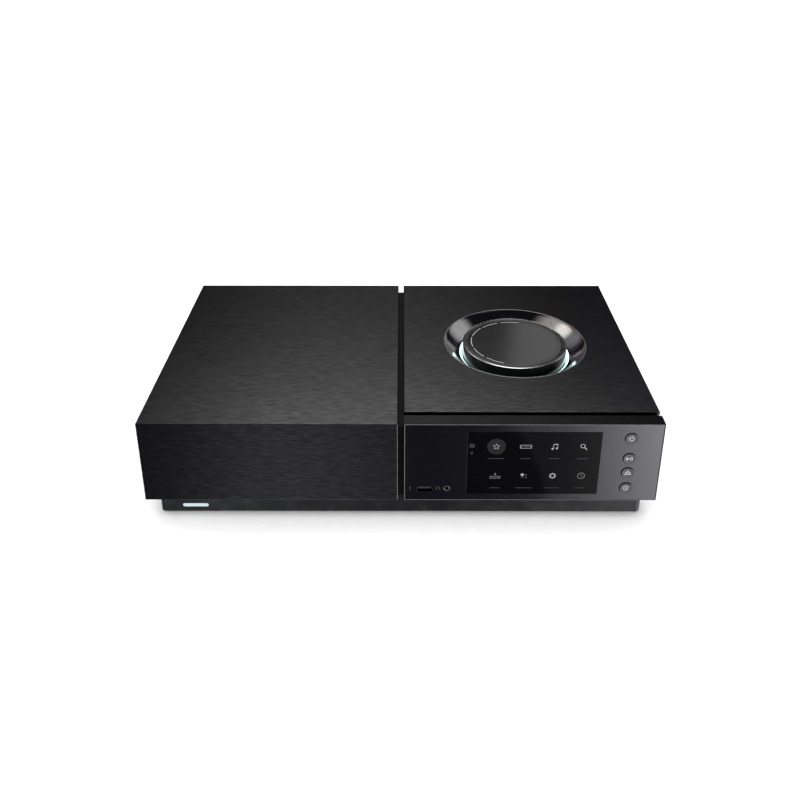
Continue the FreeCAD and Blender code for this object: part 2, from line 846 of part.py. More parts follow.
def make_code_ring():
    """Toothed ring under the dial's skirt, which the reader counts as the dial turns."""
    top = dial_skirt_height
    low = top - code_ring_gauge
    band = ring(dish_x, dish_y, low, top, code_ring_band, code_ring_outer)
    half = math.tau / code_tooth_count / 4
    root = code_ring_band + code_ring_gauge
    teeth = []
    for i in range(code_tooth_count):
        turn = math.tau * i / code_tooth_count
        corners = [(code_tooth_tip, -half), (root, -half), (root, half), (code_tooth_tip, half)]
        outline = face([V(dish_x + r * math.cos(turn + a), dish_y + r * math.sin(turn + a), low)
                        for r, a in corners])
        teeth.append(outline.extrude(V(0, 0, code_ring_gauge)))
    return band.fuse(teeth).removeSplitter()


def make_code_reader():
    """Forked reader on the dish's floor; the toothed ring passes through its slot."""
    x0, x1 = dish_x - reader_half_width, dish_x + reader_half_width
    y_in = dish_y + hub_seat_radius + reader_inner_gap
    y_out = dish_y + math.sqrt(reader_outer ** 2 - reader_half_width ** 2)
    body = block(x0, x1, y_in, y_out, dish_floor_height, dish_floor_height + reader_height)
    slot_low = dial_skirt_height - code_ring_gauge - reader_slot_gap
    slot = block(x0, x1, y_out - reader_slot_depth, y_out, slot_low, dial_skirt_height + reader_slot_gap)
    return body.cut(slot)


def make_bearing():
    """Thin bearing between the fixed hub and the dial ring."""
    return ring(dish_x, dish_y, bearing_top - bearing_width, bearing_top, bearing_inner_radius,
                bearing_outer_radius)


def make_hub():
    """Fixed hub: seat for the bearing, ledge for the level marks, rim for the glass and a pocket."""
    ledge = glass_under - level_depth
    hub = turned(dish_x, dish_y, [
        (0, dish_floor_height), (hub_seat_radius, dish_floor_height), (hub_seat_radius, bearing_top),
        (hub_flange_radius, bearing_top), (hub_flange_radius, ledge), (level_ledge_radius, ledge),
        (level_ledge_radius, glass_under), (0, glass_under),
    ])
    return hub.cut(prism(dish_x, dish_y, glass_under - hub_pocket_depth, glass_under,
                         hub_pocket_radius, board_sides))


def make_level_board():
    """Board with the level lamps, in the hub's pocket."""
    low = glass_under - hub_pocket_depth
    high = low + level_board_gauge
    return prism(dish_x, dish_y, low, high, hub_pocket_radius - level_board_gap, board_sides)


def make_dial_glass():
    """Round glass over the hub and the level marks."""
    return post(dish_x, dish_y, glass_under, glass_top, glass_radius)


def make_level_marks():
    """Light bars under the glass that show the volume."""
    low = glass_under - level_depth
    outer = level_radius + level_width / 2
    marks = []
    for i in range(level_count):
        start = level_first_angle - i * level_pitch - level_arc
        mark = Part.makeCylinder(outer, level_depth, V(0, 0, low), V(0, 0, 1), level_arc)
        mark = mark.cut(post(0, 0, low, glass_under, outer - level_width))
        mark.Placement = FreeCAD.Placement(V(dish_x, dish_y, 0), FreeCAD.Rotation(V(0, 0, 1), start))
        marks.append(mark)
    return together(marks)


def phono_places():
    """Centres of the phono sockets: two columns of two, then one near the right end for the digital lead."""
    first = channel_left - phono_from_channel
    low = skirt_height + phono_low_rise
    pairs = [(first + i * phono_column_pitch, low + j * phono_row_pitch) for i in range(2) for j in range(2)]
    return pairs + [(right_x - digital_from_right, low)]


def speaker_places():
    """Centres of the four speaker sockets, two rows of two."""
    first = left_x + speaker_from_left
    low = skirt_height + speaker_low_rise
    return [(first + i * speaker_pair_pitch, low + j * speaker_row_pitch) for i in range(2) for j in range(2)]


def optical_places():
    """Centres of the two optical sockets, one above the other."""
    return [(optical_column, media_row_low), (optical_column, media_row_high)]


def aerial_places():
    """Centres and sizes of the aerial sockets: two for the wireless link and one for the tuner."""
    side = right_x - wireless_from_side
    wireless = (wireless_radius, wireless_proud, wireless_hex_radius, wireless_hex_gauge)
    tuner = (tuner_radius, tuner_proud, tuner_hex_radius, tuner_hex_gauge)
    wireless_height = skirt_height + wireless_rise
    return [(-side, wireless_height, *wireless), (side, wireless_height, *wireless),
            (right_x - tuner_from_right, skirt_height + tuner_rise, *tuner)]


def screw_places():
    """Centres of the rear panel's screws, near its two ends."""
    x = tray_side + sink_base / 2
    low = plinth_top + rear_screw_inset
    step = (plate_under - rear_screw_inset - low) / (rear_screw_rows - 1)
    return [(side * x, low + i * step) for side in (-1, 1) for i in range(rear_screw_rows)]


def cut_box(x, z, width, height):
    """Rectangular opening through the rear panel."""
    return block(x - width / 2, x + width / 2, panel_rear_inner, panel_rear_face,
                 z - height / 2, z + height / 2)


def cut_hexagon(x, z, radius):
    """Hexagonal opening through the rear panel, which stops a socket from turning."""
    return hexagon_rod(x, z, panel_rear_inner, panel_rear_face, radius + panel_gap)


def make_rear_panel():
    """Rear panel with an opening for each socket and a notch for the spine."""
    side = tray_side + sink_base
    panel = block(-side, side, panel_rear_inner, panel_rear_face, plinth_top, plate_under)
    gap = 2 * panel_gap
    cuts = [block(spine_left - seat_gap, spine_right + seat_gap, panel_rear_inner, panel_rear_face,
                  spine_under - seat_gap, plate_under)]
    cuts += [cut_hexagon(x, z, speaker_barrel_radius) for x, z in speaker_places()]
    cuts += [cut_hexagon(x, z, phono_tail_radius) for x, z in phono_places()]
    cuts += [cut_hexagon(x, z, radius) for x, z, radius, *rest in aerial_places()]
    cuts += [cut_hexagon(x, z, rear_screw_shank) for x, z in screw_places()]
    optical_width = optical_body_width - 2 * optical_border
    optical_height = optical_body_height - 2 * optical_border
    cuts += [cut_box(x, z, optical_width + gap, optical_height + gap) for x, z in optical_places()]
    cuts.append(cut_box(media_column, media_row_low, network_width + 2 * network_wall + gap,
                        network_mouth_height + 2 * network_latch_height + 2 * network_wall + gap))
    cuts.append(cut_box(media_column, media_row_high, video_mouth_width + 2 * video_shell + gap,
                        video_mouth_height + 2 * video_shell + gap))
    cuts.append(cut_box(rear_usb_column, media_row_low, usb_mouth_width + 2 * usb_shell + gap,
                        usb_mouth_height + 2 * usb_shell + gap))
    cuts.append(cut_box(inlet_x, inlet_height, inlet_width + 2 * inlet_wall + gap,
                        inlet_opening_height + 2 * inlet_wall + gap))
    cuts.append(cut_box(rocker_x, inlet_height, rocker_frame_size()[0] + gap, rocker_frame_size()[1] + gap))
    return panel.cut(cuts)


def make_rear_screws():
    """Hexagon-headed screws that hold the rear panel to the heat sinks."""
    screws = []
    for x, z in screw_places():
        shank = hexagon_rod(x, z, panel_rear_inner - rear_screw_length, panel_rear_face, rear_screw_shank)
        head = hexagon_rod(x, z, panel_rear_face, panel_rear_face + rear_screw_head, rear_screw_radius)
        screws.append(shank.fuse(head))
    return together(screws)


def make_speaker_sockets():
    """Four sockets for 4 mm speaker plugs: round collar outside and a hexagonal barrel inside."""
    mouth = panel_rear_face + speaker_collar
    bottom = mouth - speaker_bore_length
    sockets = []
    for x, z in speaker_places():
        collar = rod(x, z, panel_rear_face, mouth, speaker_collar_radius)
        barrel = hexagon_rod(x, z, bottom - speaker_end_wall, panel_rear_face, speaker_barrel_radius)
        sockets.append(collar.fuse(barrel).cut(rod(x, z, bottom, mouth, speaker_bore_radius)))
    return together(sockets)


def make_phono_sockets():
    """Five phono sockets: round sleeve with a centre bore, nut on the panel and hexagonal tail inside."""
    flange = panel_rear_face + phono_flange_gauge
    mouth = panel_rear_face + phono_sleeve
    sockets = []
    for x, z in phono_places():
        tail = hexagon_rod(x, z, panel_rear_inner - phono_tail, panel_rear_face, phono_tail_radius)
        nut = hexagon_rod(x, z, panel_rear_face, flange, phono_flange_radius)
        sleeve = rod(x, z, flange, mouth, phono_sleeve_radius)
        bore = rod(x, z, mouth - phono_bore_length, mouth, phono_bore_radius)
        sockets.append(tail.fuse([nut, sleeve]).cut(bore))
    return together(sockets)


def flap_hinge(z):
    """Hinge line of a flap: depth and height for a socket centred at z."""
    drop = flap_gap + flap_pin_radius
    return panel_rear_face + optical_proud - flap_setback - flap_pin_radius, z + optical_mouth / 2 - drop


def make_optical_sockets():
    """Two optical sockets: square mouth, ferrule inside and bearings for the flap's pins."""
    mouth = panel_rear_face + optical_proud
    floor = mouth - optical_depth
    back = floor - optical_back_wall
    half = optical_mouth / 2
    sockets = []
    half_width = optical_body_width / 2
    half_height = optical_body_height / 2
    for x, z in optical_places():
        bezel = block(x - half_width, x + half_width, panel_rear_face, mouth,
                      z - half_height, z + half_height)
        body = block(x - half_width + optical_border, x + half_width - optical_border, back, panel_rear_face,
                     z - half_height + optical_border, z + half_height - optical_border)
        hollow = block(x - half, x + half, floor, mouth, z - half, z + half)
        hinge_y, hinge_z = flap_hinge(z)
        bearing = pin(hinge_y, hinge_z, x - half - flap_pin_length, x + half + flap_pin_length,
                      flap_pin_radius + flap_pin_gap)
        ferrule = rod(x, z, floor, floor + ferrule_length, ferrule_radius)
        sockets.append(bezel.fuse(body).cut([hollow, bearing]).fuse(ferrule).removeSplitter())
    return together(sockets)


def make_optical_flap(z):
    """Sprung flap that hangs in the mouth of an optical socket, with a pin at each end of its top edge."""
    x = optical_column
    hinge_y, hinge_z = flap_hinge(z)
    half = optical_mouth / 2
    leaf = block(x - half + flap_gap, x + half - flap_gap, hinge_y - flap_gauge / 2, hinge_y + flap_gauge / 2,
                 z - half + flap_gap, hinge_z)
    reach = half + flap_pin_length - flap_gap
    pivot = pin(hinge_y, hinge_z, x - reach, x + reach, flap_pin_radius)
    return leaf.fuse(pivot).removeSplitter()


def make_network_socket():
    """Network socket: open housing with a keyed notch for the plug's latch."""
    x, z = media_column, media_row_low
    mouth = panel_rear_face + network_proud
    floor = mouth - network_depth
    half = network_width / 2
    reach = network_mouth_height / 2 + network_latch_height
    body = block(x - half - network_wall, x + half + network_wall, floor - network_back, mouth,
                 z - reach - network_wall, z + reach + network_wall)
    half_height = network_mouth_height / 2
    hollow = block(x - half, x + half, floor, mouth, z - half_height, z + half_height)
    latch = block(x - network_latch_width / 2, x + network_latch_width / 2, floor, mouth,
                  z - reach, z - half_height)
    return body.cut([hollow, latch])


def video_outline(width, height, corner, y, z):
    """Outline of a video plug: a rectangle with its two lower corners cut off."""
    x = media_column
    half, top, low = width / 2, z + height / 2, z - height / 2
    points = [(x - half, top), (x + half, top), (x + half, low + corner), (x + half - corner, low),
              (x - half + corner, low), (x - half, low + corner)]
    return face([V(px, y, pz) for px, pz in points])


def make_video_socket():
    """Video socket: thin keyed shell with a tongue."""
    z = media_row_high
    mouth = panel_rear_face + socket_proud
    floor = mouth - video_depth
    shell = video_outline(video_mouth_width + 2 * video_shell, video_mouth_height + 2 * video_shell,
                          video_corner, floor - video_back, z).extrude(V(0, video_depth + video_back, 0))
    hollow = video_outline(video_mouth_width, video_mouth_height, video_corner, floor, z)
    hollow = hollow.extrude(V(0, video_depth, 0))
    tongue = block(media_column - video_tongue_width / 2, media_column + video_tongue_width / 2, floor,
                   mouth - video_tongue_setback, z - video_tongue_gauge / 2, z + video_tongue_gauge / 2)
    return shell.cut(hollow).fuse(tongue).removeSplitter()


def make_rear_usb():
    """Data socket at the rear, its ears inside the panel."""
    mouth = panel_rear_face + socket_proud
    return make_usb(rear_usb_column, media_row_low, mouth, -1, mouth - panel_rear_inner)


def inlet_outline(grow, y):
    """Outline of the mains inlet: a rectangle with its two upper corners cut off, grown on all sides."""
    half = inlet_width / 2 + grow
    low = inlet_height - inlet_opening_height / 2 - grow
    top = inlet_height + inlet_opening_height / 2 + grow
    points = [(inlet_x - half, low), (inlet_x + half, low), (inlet_x + half, top - inlet_corner),
              (inlet_x + half - inlet_corner, top), (inlet_x - half + inlet_corner, top),
              (inlet_x - half, top - inlet_corner)]
    return face([V(px, y, pz) for px, pz in points])


def make_mains_inlet():
    """Mains inlet: flange on the panel, keyed hollow and three flat pins."""
    mouth = panel_rear_face + inlet_flange_gauge
    floor = mouth - inlet_depth
    reach = inlet_width / 2 + inlet_wall + inlet_flange
    flange = bevelled_flange(inlet_x, inlet_height, reach,
                            inlet_opening_height / 2 + inlet_wall + inlet_flange, panel_rear_face, mouth)
    body = inlet_outline(inlet_wall, floor - inlet_wall).extrude(V(0, inlet_depth, 0))
    hollow = inlet_outline(0, floor).extrude(V(0, inlet_depth, 0))
    places = [(inlet_x - inlet_pin_spacing, inlet_height), (inlet_x + inlet_pin_spacing, inlet_height),
              (inlet_x, inlet_height + inlet_earth_rise)]
    pins = [block(px - inlet_pin_width / 2, px + inlet_pin_width / 2, floor, floor + inlet_pin_length,
                  pz - inlet_pin_height / 2, pz + inlet_pin_height / 2) for px, pz in places]
    return flange.fuse(body).cut(hollow).fuse(pins).removeSplitter()


def rocker_frame_size():
    """Outer width and height of the part of the switch frame that passes through the panel."""
    wall = 2 * rocker_frame_wall
    return rocker_width + 2 * rocker_side_gap + wall, rocker_height + 2 * rocker_end_gap + wall


def make_switch_frame():
    """Frame of the mains switch: bezel, walls, rear wall and a bearing hole in each side."""
    width, height = rocker_frame_size()
    mouth = panel_rear_face + rocker_bezel_gauge
    back = mouth - rocker_frame_depth
    bezel = bevelled_flange(rocker_x, inlet_height, width / 2 + rocker_bezel, height / 2 + rocker_bezel,
                           panel_rear_face, mouth)
    body = block(rocker_x - width / 2, rocker_x + width / 2, back, panel_rear_face,
                 inlet_height - height / 2, inlet_height + height / 2)
    half_width = width / 2 - rocker_frame_wall
    half_height = height / 2 - rocker_frame_wall
    hollow = block(rocker_x - half_width, rocker_x + half_width, back + rocker_frame_wall, mouth,
                   inlet_height - half_height, inlet_height + half_height)
    reach = half_width + rocker_pin_length
    bearing = pin(rocker_pivot_y, inlet_height, rocker_x - reach, rocker_x + reach,
                  rocker_pin_radius + rocker_pin_gap)
    return bezel.fuse(body).cut([hollow, bearing]).removeSplitter()


def make_rocker():
    """Mains rocker with a hollowed face and a pin at each side, at rest tipped to one side."""
    half = rocker_height / 2
    top = rocker_pivot_y + rocker_face
    low = rocker_pivot_y - rocker_root
    z = inlet_height
    x0 = rocker_x - rocker_width / 2
    arc = Part.Arc(V(x0, top, z - half), V(x0, top - rocker_hollow, z), V(x0, top, z + half))
    sides = Part.makePolygon([V(x0, top, z + half), V(x0, low, z + half - rocker_hollow),
                              V(x0, low, z - half + rocker_hollow), V(x0, top, z - half)])
    outline = Part.Face(Part.Wire([arc.toShape()] + sides.Edges))
    body = outline.extrude(V(rocker_width, 0, 0))
    reach = rocker_width / 2 + rocker_side_gap + rocker_pin_length - panel_gap
    rocker = body.fuse(pin(rocker_pivot_y, z, rocker_x - reach, rocker_x + reach, rocker_pin_radius))
    rocker = rocker.removeSplitter()
    rocker.rotate(V(rocker_x, rocker_pivot_y, z), V(1, 0, 0), -rocker_tilt)
    return rocker


def make_aerial_sockets():
    """Screw-on aerial sockets: round barrel with a cup, nut on the panel and hexagonal tail inside."""
    sockets = []
    for x, z, radius, proud, hex_radius, hex_gauge in aerial_places():
        mouth = panel_rear_face + proud
        tail = hexagon_rod(x, z, panel_rear_inner - aerial_tail, panel_rear_face, radius)
        nut = hexagon_rod(x, z, panel_rear_face, panel_rear_face + hex_gauge, hex_radius)
        barrel = rod(x, z, panel_rear_face + hex_gauge, mouth, radius)
        cup = rod(x, z, mouth - aerial_cup_depth, mouth, aerial_cup_radius)
        sockets.append(tail.fuse([nut, barrel]).cut(cup))
    return together(sockets)


def toroid_centre():
    """Centre of the toroidal transformer, in the left block."""
    return left_x + toroid_from_left, front_y + toroid_from_front


def make_toroid():
    """Toroidal transformer: a fat taped ring with bevelled outer corners."""
    x, y = toroid_centre()
    low = tray_floor + toroid_pad
    top = low + toroid_height
    body = prism(x, y, low, top, toroid_radius, taped_sides)
    body = body.makeChamfer(toroid_corner, edges_in_planes(body, z=low) + edges_in_planes(body, z=top))
    return body.cut(prism(x, y, low, top, toroid_hole, taped_sides))


def make_toroid_pad():
    """Rubber pad under the transformer."""
    x, y = toroid_centre()
    top = tray_floor + toroid_pad
    pad = prism(x, y, tray_floor, top, toroid_radius - toroid_corner, taped_sides)
    return pad.cut(prism(x, y, tray_floor, top, toroid_hole, taped_sides))


def make_toroid_clamp():
    """Washer on the transformer, with the long bolt that pulls it down."""
    x, y = toroid_centre()
    seat = tray_floor + toroid_pad + toroid_height
    washer = prism(x, y, seat, seat + clamp_gauge, clamp_radius, taped_sides)
    bolt = prism(x, y, tray_floor, seat, clamp_bolt_radius, HEXAGON_SIDES)
    head = prism(x, y, seat + clamp_gauge, seat + clamp_gauge + clamp_head, clamp_head_radius, HEXAGON_SIDES)
    return washer.fuse([bolt, head]).removeSplitter()


def capacitor_rows():
    """Depths of the capacitors' centres."""
    return [front_y + capacitor_from_front + i * capacitor_pitch for i in range(capacitor_count)]


def make_capacitors():
    """Row of large capacitors beside the transformer, each with a bevelled top."""
    x = channel_left - capacitor_from_channel
    top = tray_floor + capacitor_height
    cans = []
    for y in capacitor_rows():
        can = prism(x, y, tray_floor, top, capacitor_radius, sleeve_sides)
        cans.append(can.makeChamfer(capacitor_edge, edges_in_planes(can, z=top)))
    return together(cans)


def power_board_box():
    """Low and high corners of the power board in X and Y."""
    front = max(capacitor_rows()) + capacitor_radius + power_board_gap
    back = panel_rear_inner - board_from_rear
    return board_from_sink - tray_side, channel_left - board_from_sink, front, back


def main_board_box():
    """Low and high corners of the main board in X and Y."""
    return (channel_right + board_from_sink, tray_side - board_from_sink,
            front_y + main_board_from_front, panel_rear_inner - board_from_rear)


def make_board(box):
    """Flat circuit board on its posts."""
    return block(*box, board_under, board_top)


def make_posts():
    """Hexagonal posts between the tray and the two boards, near the boards' corners."""
    posts = []
    for x0, x1, y0, y1 in (power_board_box(), main_board_box()):
        for x in (x0 + board_margin, x1 - board_margin):
            for y in (y0 + board_margin, y1 - board_margin):
                posts.append(prism(x, y, tray_floor, board_under, post_radius, HEXAGON_SIDES))
    return together(posts)


def make_streamer():
    """Small streaming board with a screening can, plugged on the main board."""
    x0 = channel_right + streamer_from_channel
    y0 = front_y + streamer_from_front
    base = block(x0, x0 + streamer_side, y0, y0 + streamer_length, board_top, board_top + streamer_gauge)
    margin = streamer_can_margin
    can = block(x0 + margin, x0 + streamer_side - margin, y0 + margin, y0 + streamer_length - margin,
                board_top + streamer_gauge, board_top + streamer_gauge + streamer_can_height)
    return base.fuse(can).removeSplitter()


def make_transistors():
    """Output transistors in a row on the inner face of the left heat sink."""
    low = board_top + transistor_lift
    x0 = -tray_side
    transistors = []
    for i in range(transistor_count):
        y0 = panel_rear_inner - transistor_from_rear + i * transistor_pitch
        transistors.append(block(x0, x0 + transistor_gauge, y0, y0 + transistor_width,
                                 low, low + transistor_height))
    return together(transistors)


parts = {
    "feet": make_feet(),
    "base_plinth": make_plinth(),
    "plinth_lamp": make_plinth_lamp(),
    "chassis_tray": make_tray(),
    "heat_sink_left": make_heat_sink(-1),
    "heat_sink_right": make_heat_sink(1),
    "left_cover": make_left_cover(),
    "top_plate": make_top_plate(),
    "centre_spine": make_spine(),
    "fascia_frame": make_fascia(),
    "front_panel": make_front_panel(),
    "screen_glass": make_screen_glass(),
    "display_module": make_display_module(),
    "control_board": make_control_board(),
    "button_switches": make_switches(),
    "front_usb_socket": make_front_usb(),
    "headphone_socket": make_headphone_socket(),
    "dish": make_dish(),
    "light_ring": make_light_ring(),
    "dial_ring": make_dial_ring(),
    "dial_code_ring": make_code_ring(),
    "dial_code_reader": make_code_reader(),
    "dial_bearing": make_bearing(),
    "dial_hub": make_hub(),
    "dial_glass": make_dial_glass(),
    "level_marks": make_level_marks(),
    "level_board": make_level_board(),
    "rear_panel": make_rear_panel(),
    "rear_screws": make_rear_screws(),
    "speaker_sockets": make_speaker_sockets(),
    "phono_sockets": make_phono_sockets(),
    "optical_sockets": make_optical_sockets(),
    "optical_flap_low": make_optical_flap(media_row_low),
    "optical_flap_high": make_optical_flap(media_row_high),
    "network_socket": make_network_socket(),
    "video_socket": make_video_socket(),
    "rear_usb_socket": make_rear_usb(),
    "mains_inlet": make_mains_inlet(),
    "mains_switch_frame": make_switch_frame(),
    "mains_rocker": make_rocker(),
    "aerial_sockets": make_aerial_sockets(),
    "toroid_transformer": make_toroid(),
    "transformer_pad": make_toroid_pad(),
    "transformer_clamp": make_toroid_clamp(),
    "reservoir_capacitors": make_capacitors(),
    "power_board": make_board(power_board_box()),
    "main_board": make_board(main_board_box()),
    "board_posts": make_posts(),
    "streamer_module": make_streamer(),
    "output_transistors": make_transistors(),
}
for name, height in button_heights.items():
    parts[name] = make_button(height)

os.makedirs("parts", exist_ok=True)
for name, shape in parts.items():
    shape.exportStep("parts/" + name + ".step")
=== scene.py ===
"""Streaming amplifier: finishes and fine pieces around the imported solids, with a plain pale studio."""

import logging
import math
from dataclasses import dataclass
from enum import Enum
from typing import Callable, Iterable, Optional, Sequence

import bmesh
import bpy
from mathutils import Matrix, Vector


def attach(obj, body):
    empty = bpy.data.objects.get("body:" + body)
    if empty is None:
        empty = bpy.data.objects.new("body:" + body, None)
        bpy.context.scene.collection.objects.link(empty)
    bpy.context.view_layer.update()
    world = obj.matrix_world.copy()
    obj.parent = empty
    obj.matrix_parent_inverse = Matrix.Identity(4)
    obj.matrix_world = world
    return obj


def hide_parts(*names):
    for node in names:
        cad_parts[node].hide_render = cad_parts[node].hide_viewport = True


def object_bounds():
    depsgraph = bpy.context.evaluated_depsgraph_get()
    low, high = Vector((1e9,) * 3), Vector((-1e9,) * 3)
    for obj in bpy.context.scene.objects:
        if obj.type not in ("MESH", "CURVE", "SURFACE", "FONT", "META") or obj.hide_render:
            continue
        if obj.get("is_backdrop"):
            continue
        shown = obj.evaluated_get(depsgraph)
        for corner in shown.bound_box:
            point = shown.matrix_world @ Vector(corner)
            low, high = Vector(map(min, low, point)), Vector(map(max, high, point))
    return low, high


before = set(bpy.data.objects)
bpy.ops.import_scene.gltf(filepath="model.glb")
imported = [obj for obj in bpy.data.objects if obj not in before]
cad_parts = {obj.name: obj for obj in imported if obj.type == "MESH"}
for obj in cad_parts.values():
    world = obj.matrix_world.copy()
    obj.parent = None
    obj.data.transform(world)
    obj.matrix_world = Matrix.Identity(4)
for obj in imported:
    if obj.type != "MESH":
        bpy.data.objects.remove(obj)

Pair = tuple[float, float]
Triple = tuple[float, float, float]
Corner = tuple[float, ...]
Socket = bpy.types.NodeSocket

log = logging.getLogger("amplifier")

MM = 0.001
ROOT = "amplifier"
WHITE: Triple = (1.0, 1.0, 1.0)
DISH_CENTRE: Pair = (109.3, 7.3)
TOROID_CENTRE: Pair = (-132.0, -50.5)
FINE = 288
MEDIUM = 96
SMALL = 40
HEXAGON = 6
WELD = 1e-5
SHARP_DEGREES = 38.0
ROUND_STEPS = 4
BEVEL_SEGMENTS = 3
BEVEL_SAMPLES = 4


class Axis(Enum):
    """Direction along which a shape is extruded, or about which it is turned."""

    UP = "up"
    BACK = "back"

    def place(self, u: float, v: float, along: float) -> Vector:
        """Point from two flat coordinates and one along the axis."""
        return Vector((u, v, along) if self is Axis.UP else (u, along, v))


class Grain(Enum):
    """Direction of a brushed grain."""

    ALONG_X = (1.0, 0.0, 0.0)
    ALONG_Z = (0.0, 0.0, 1.0)

    def pace(self, share: float) -> Triple:
        """Pace of a pattern that is slower along the grain by a share."""
        return tuple(share if along else 1.0 for along in self.value)

    def across(self) -> Triple:
        """Direction across the grain, on any face that holds the grain."""
        return tuple(1.0 - along for along in self.value)


def rounded(corners: Sequence[Corner], steps: int = ROUND_STEPS) -> list[Pair]:
    """Runs round an outline and replaces each corner that has a radius by an arc.

    Args:
        corners: Corners in order: across, up and, where it is rounded, the radius.
        steps: Spans in each arc.

    Returns:
        The outline's points.
    """
    points: list[Pair] = []
    for i, (u, v, *radius) in enumerate(corners):
        here = Vector((u, v))
        if not radius:
            points.append((here.x, here.y))
            continue
        back, ahead = [(Vector(corners[j % len(corners)][:2]) - here).normalized() for j in (i - 1, i + 1)]
        half = back.angle(ahead) / 2
        reach = radius[0] / math.tan(half)
        centre = here + (back + ahead).normalized() * (radius[0] / math.sin(half))
        start, end = here + back * reach - centre, here + ahead * reach - centre
        sweep = start.angle_signed(end)
        for k in range(steps + 1):
            turn = -sweep * k / steps
            cos, sin = math.cos(turn), math.sin(turn)
            points.append((centre.x + start.x * cos - start.y * sin, centre.y + start.x * sin + start.y * cos))
    return points


def rounded_rectangle(u: float, v: float, width: float, height: float, radius: float) -> list[Pair]:
    """Outline of a rectangle with round corners, by its centre, its size and the radius of its corners."""
    halves = ((-0.5, -0.5), (0.5, -0.5), (0.5, 0.5), (-0.5, 0.5))
    return rounded([(u + a * width, v + b * height, radius) for a, b in halves])


def circle(u: float, v: float, radius: float, count: int = SMALL) -> list[Pair]:
    """Points round a circle, or the corners of a regular shape where there are few."""
    turns = [math.tau * i / count for i in range(count)]
    return [(u + radius * math.cos(a), v + radius * math.sin(a)) for a in turns]


def arc(u: float, v: float, radius: float, width: float, start: float, end: float, spans: int = 24) -> list[Pair]:
    """Outline of part of a flat ring.

    Args:
        u: Centre across.
        v: Centre up.
        radius: Radius of the middle line.
        width: Width of the line.
        start: First angle in degrees.
        end: Last angle in degrees.
        spans: Spans along the arc.

    Returns:
        The outline's points.
    """
    turns = [math.radians(start + (end - start) * i / spans) for i in range(spans + 1)]
    runs = ((radius + width / 2, turns), (radius - width / 2, turns[::-1]))
    return [(u + r * math.cos(a), v + r * math.sin(a)) for r, run in runs for a in run]


def bar(u0: float, v0: float, u1: float, v1: float, width: float, spans: int = 8) -> list[Pair]:
    """Outline of a straight bar with round ends.

    Args:
        u0: Start across.
        v0: Start up.
        u1: End across.
        v1: End up.
        width: Width of the bar.
        spans: Spans round each end.

    Returns:
        The outline's points.
    """
    angle = math.atan2(v1 - v0, u1 - u0)
    ends = ((u0, v0, angle + math.pi / 2), (u1, v1, angle - math.pi / 2))
    turns = [(u, v, first + math.pi * k / spans) for u, v, first in ends for k in range(spans + 1)]
    return [(u + width / 2 * math.cos(a), v + width / 2 * math.sin(a)) for u, v, a in turns]


def from_dish(place: Vector) -> float:
    """Distance of a point from the dish's axis."""
    return (place.xy - Vector(DISH_CENTRE)).length


def add_object(name: str, data: bpy.types.ID) -> bpy.types.Object:
    """Adds an object to the scene.

    Args:
        name: Its name.
        data: Its mesh, light or camera.

    Returns:
        The object.
    """
    made = bpy.data.objects.new(name, data)
    bpy.context.scene.collection.objects.link(made)
    return made


class Tree:
    """Node tree that is put together a node at a time."""

    def __init__(self, holder: bpy.types.Material | bpy.types.World) -> None:
        """Starts with an empty tree.

        Args:
            holder: Material or world that has the tree.
        """
        holder.use_nodes = True
        self.tree = holder.node_tree
        self.tree.nodes.clear()

    def put(self, socket: Socket, value: object) -> None:
        """Links an input to an output, or gives it a value.

        Args:
            socket: The input.
            value: Output or value; a colour has three parts.
        """
        if isinstance(value, Socket):
            self.tree.links.new(value, socket)
        else:
            socket.default_value = (*value, 1.0) if socket.type == "RGBA" else value

    def node(self, kind: str, inputs: Optional[dict[str | int, object]] = None, **settings: object) -> bpy.types.Node:
        """Adds a node.

        Args:
            kind: Blender's name of the node type.
            inputs: Outputs or values for the node's inputs, by name or number.
            **settings: Values for the node's own properties.

        Returns:
            The node.
        """
        made = self.tree.nodes.new(kind)
        for key, value in settings.items():
            setattr(made, key, value)
        for key, value in (inputs or {}).items():
            self.put(made.inputs[key], value)
        return made

    def vectors(self, operation: str, inputs: dict[str | int, object], output: str = "Vector") -> Socket:
        """Works out a vector or a value from vectors."""
        return self.node("ShaderNodeVectorMath", inputs, operation=operation).outputs[output]


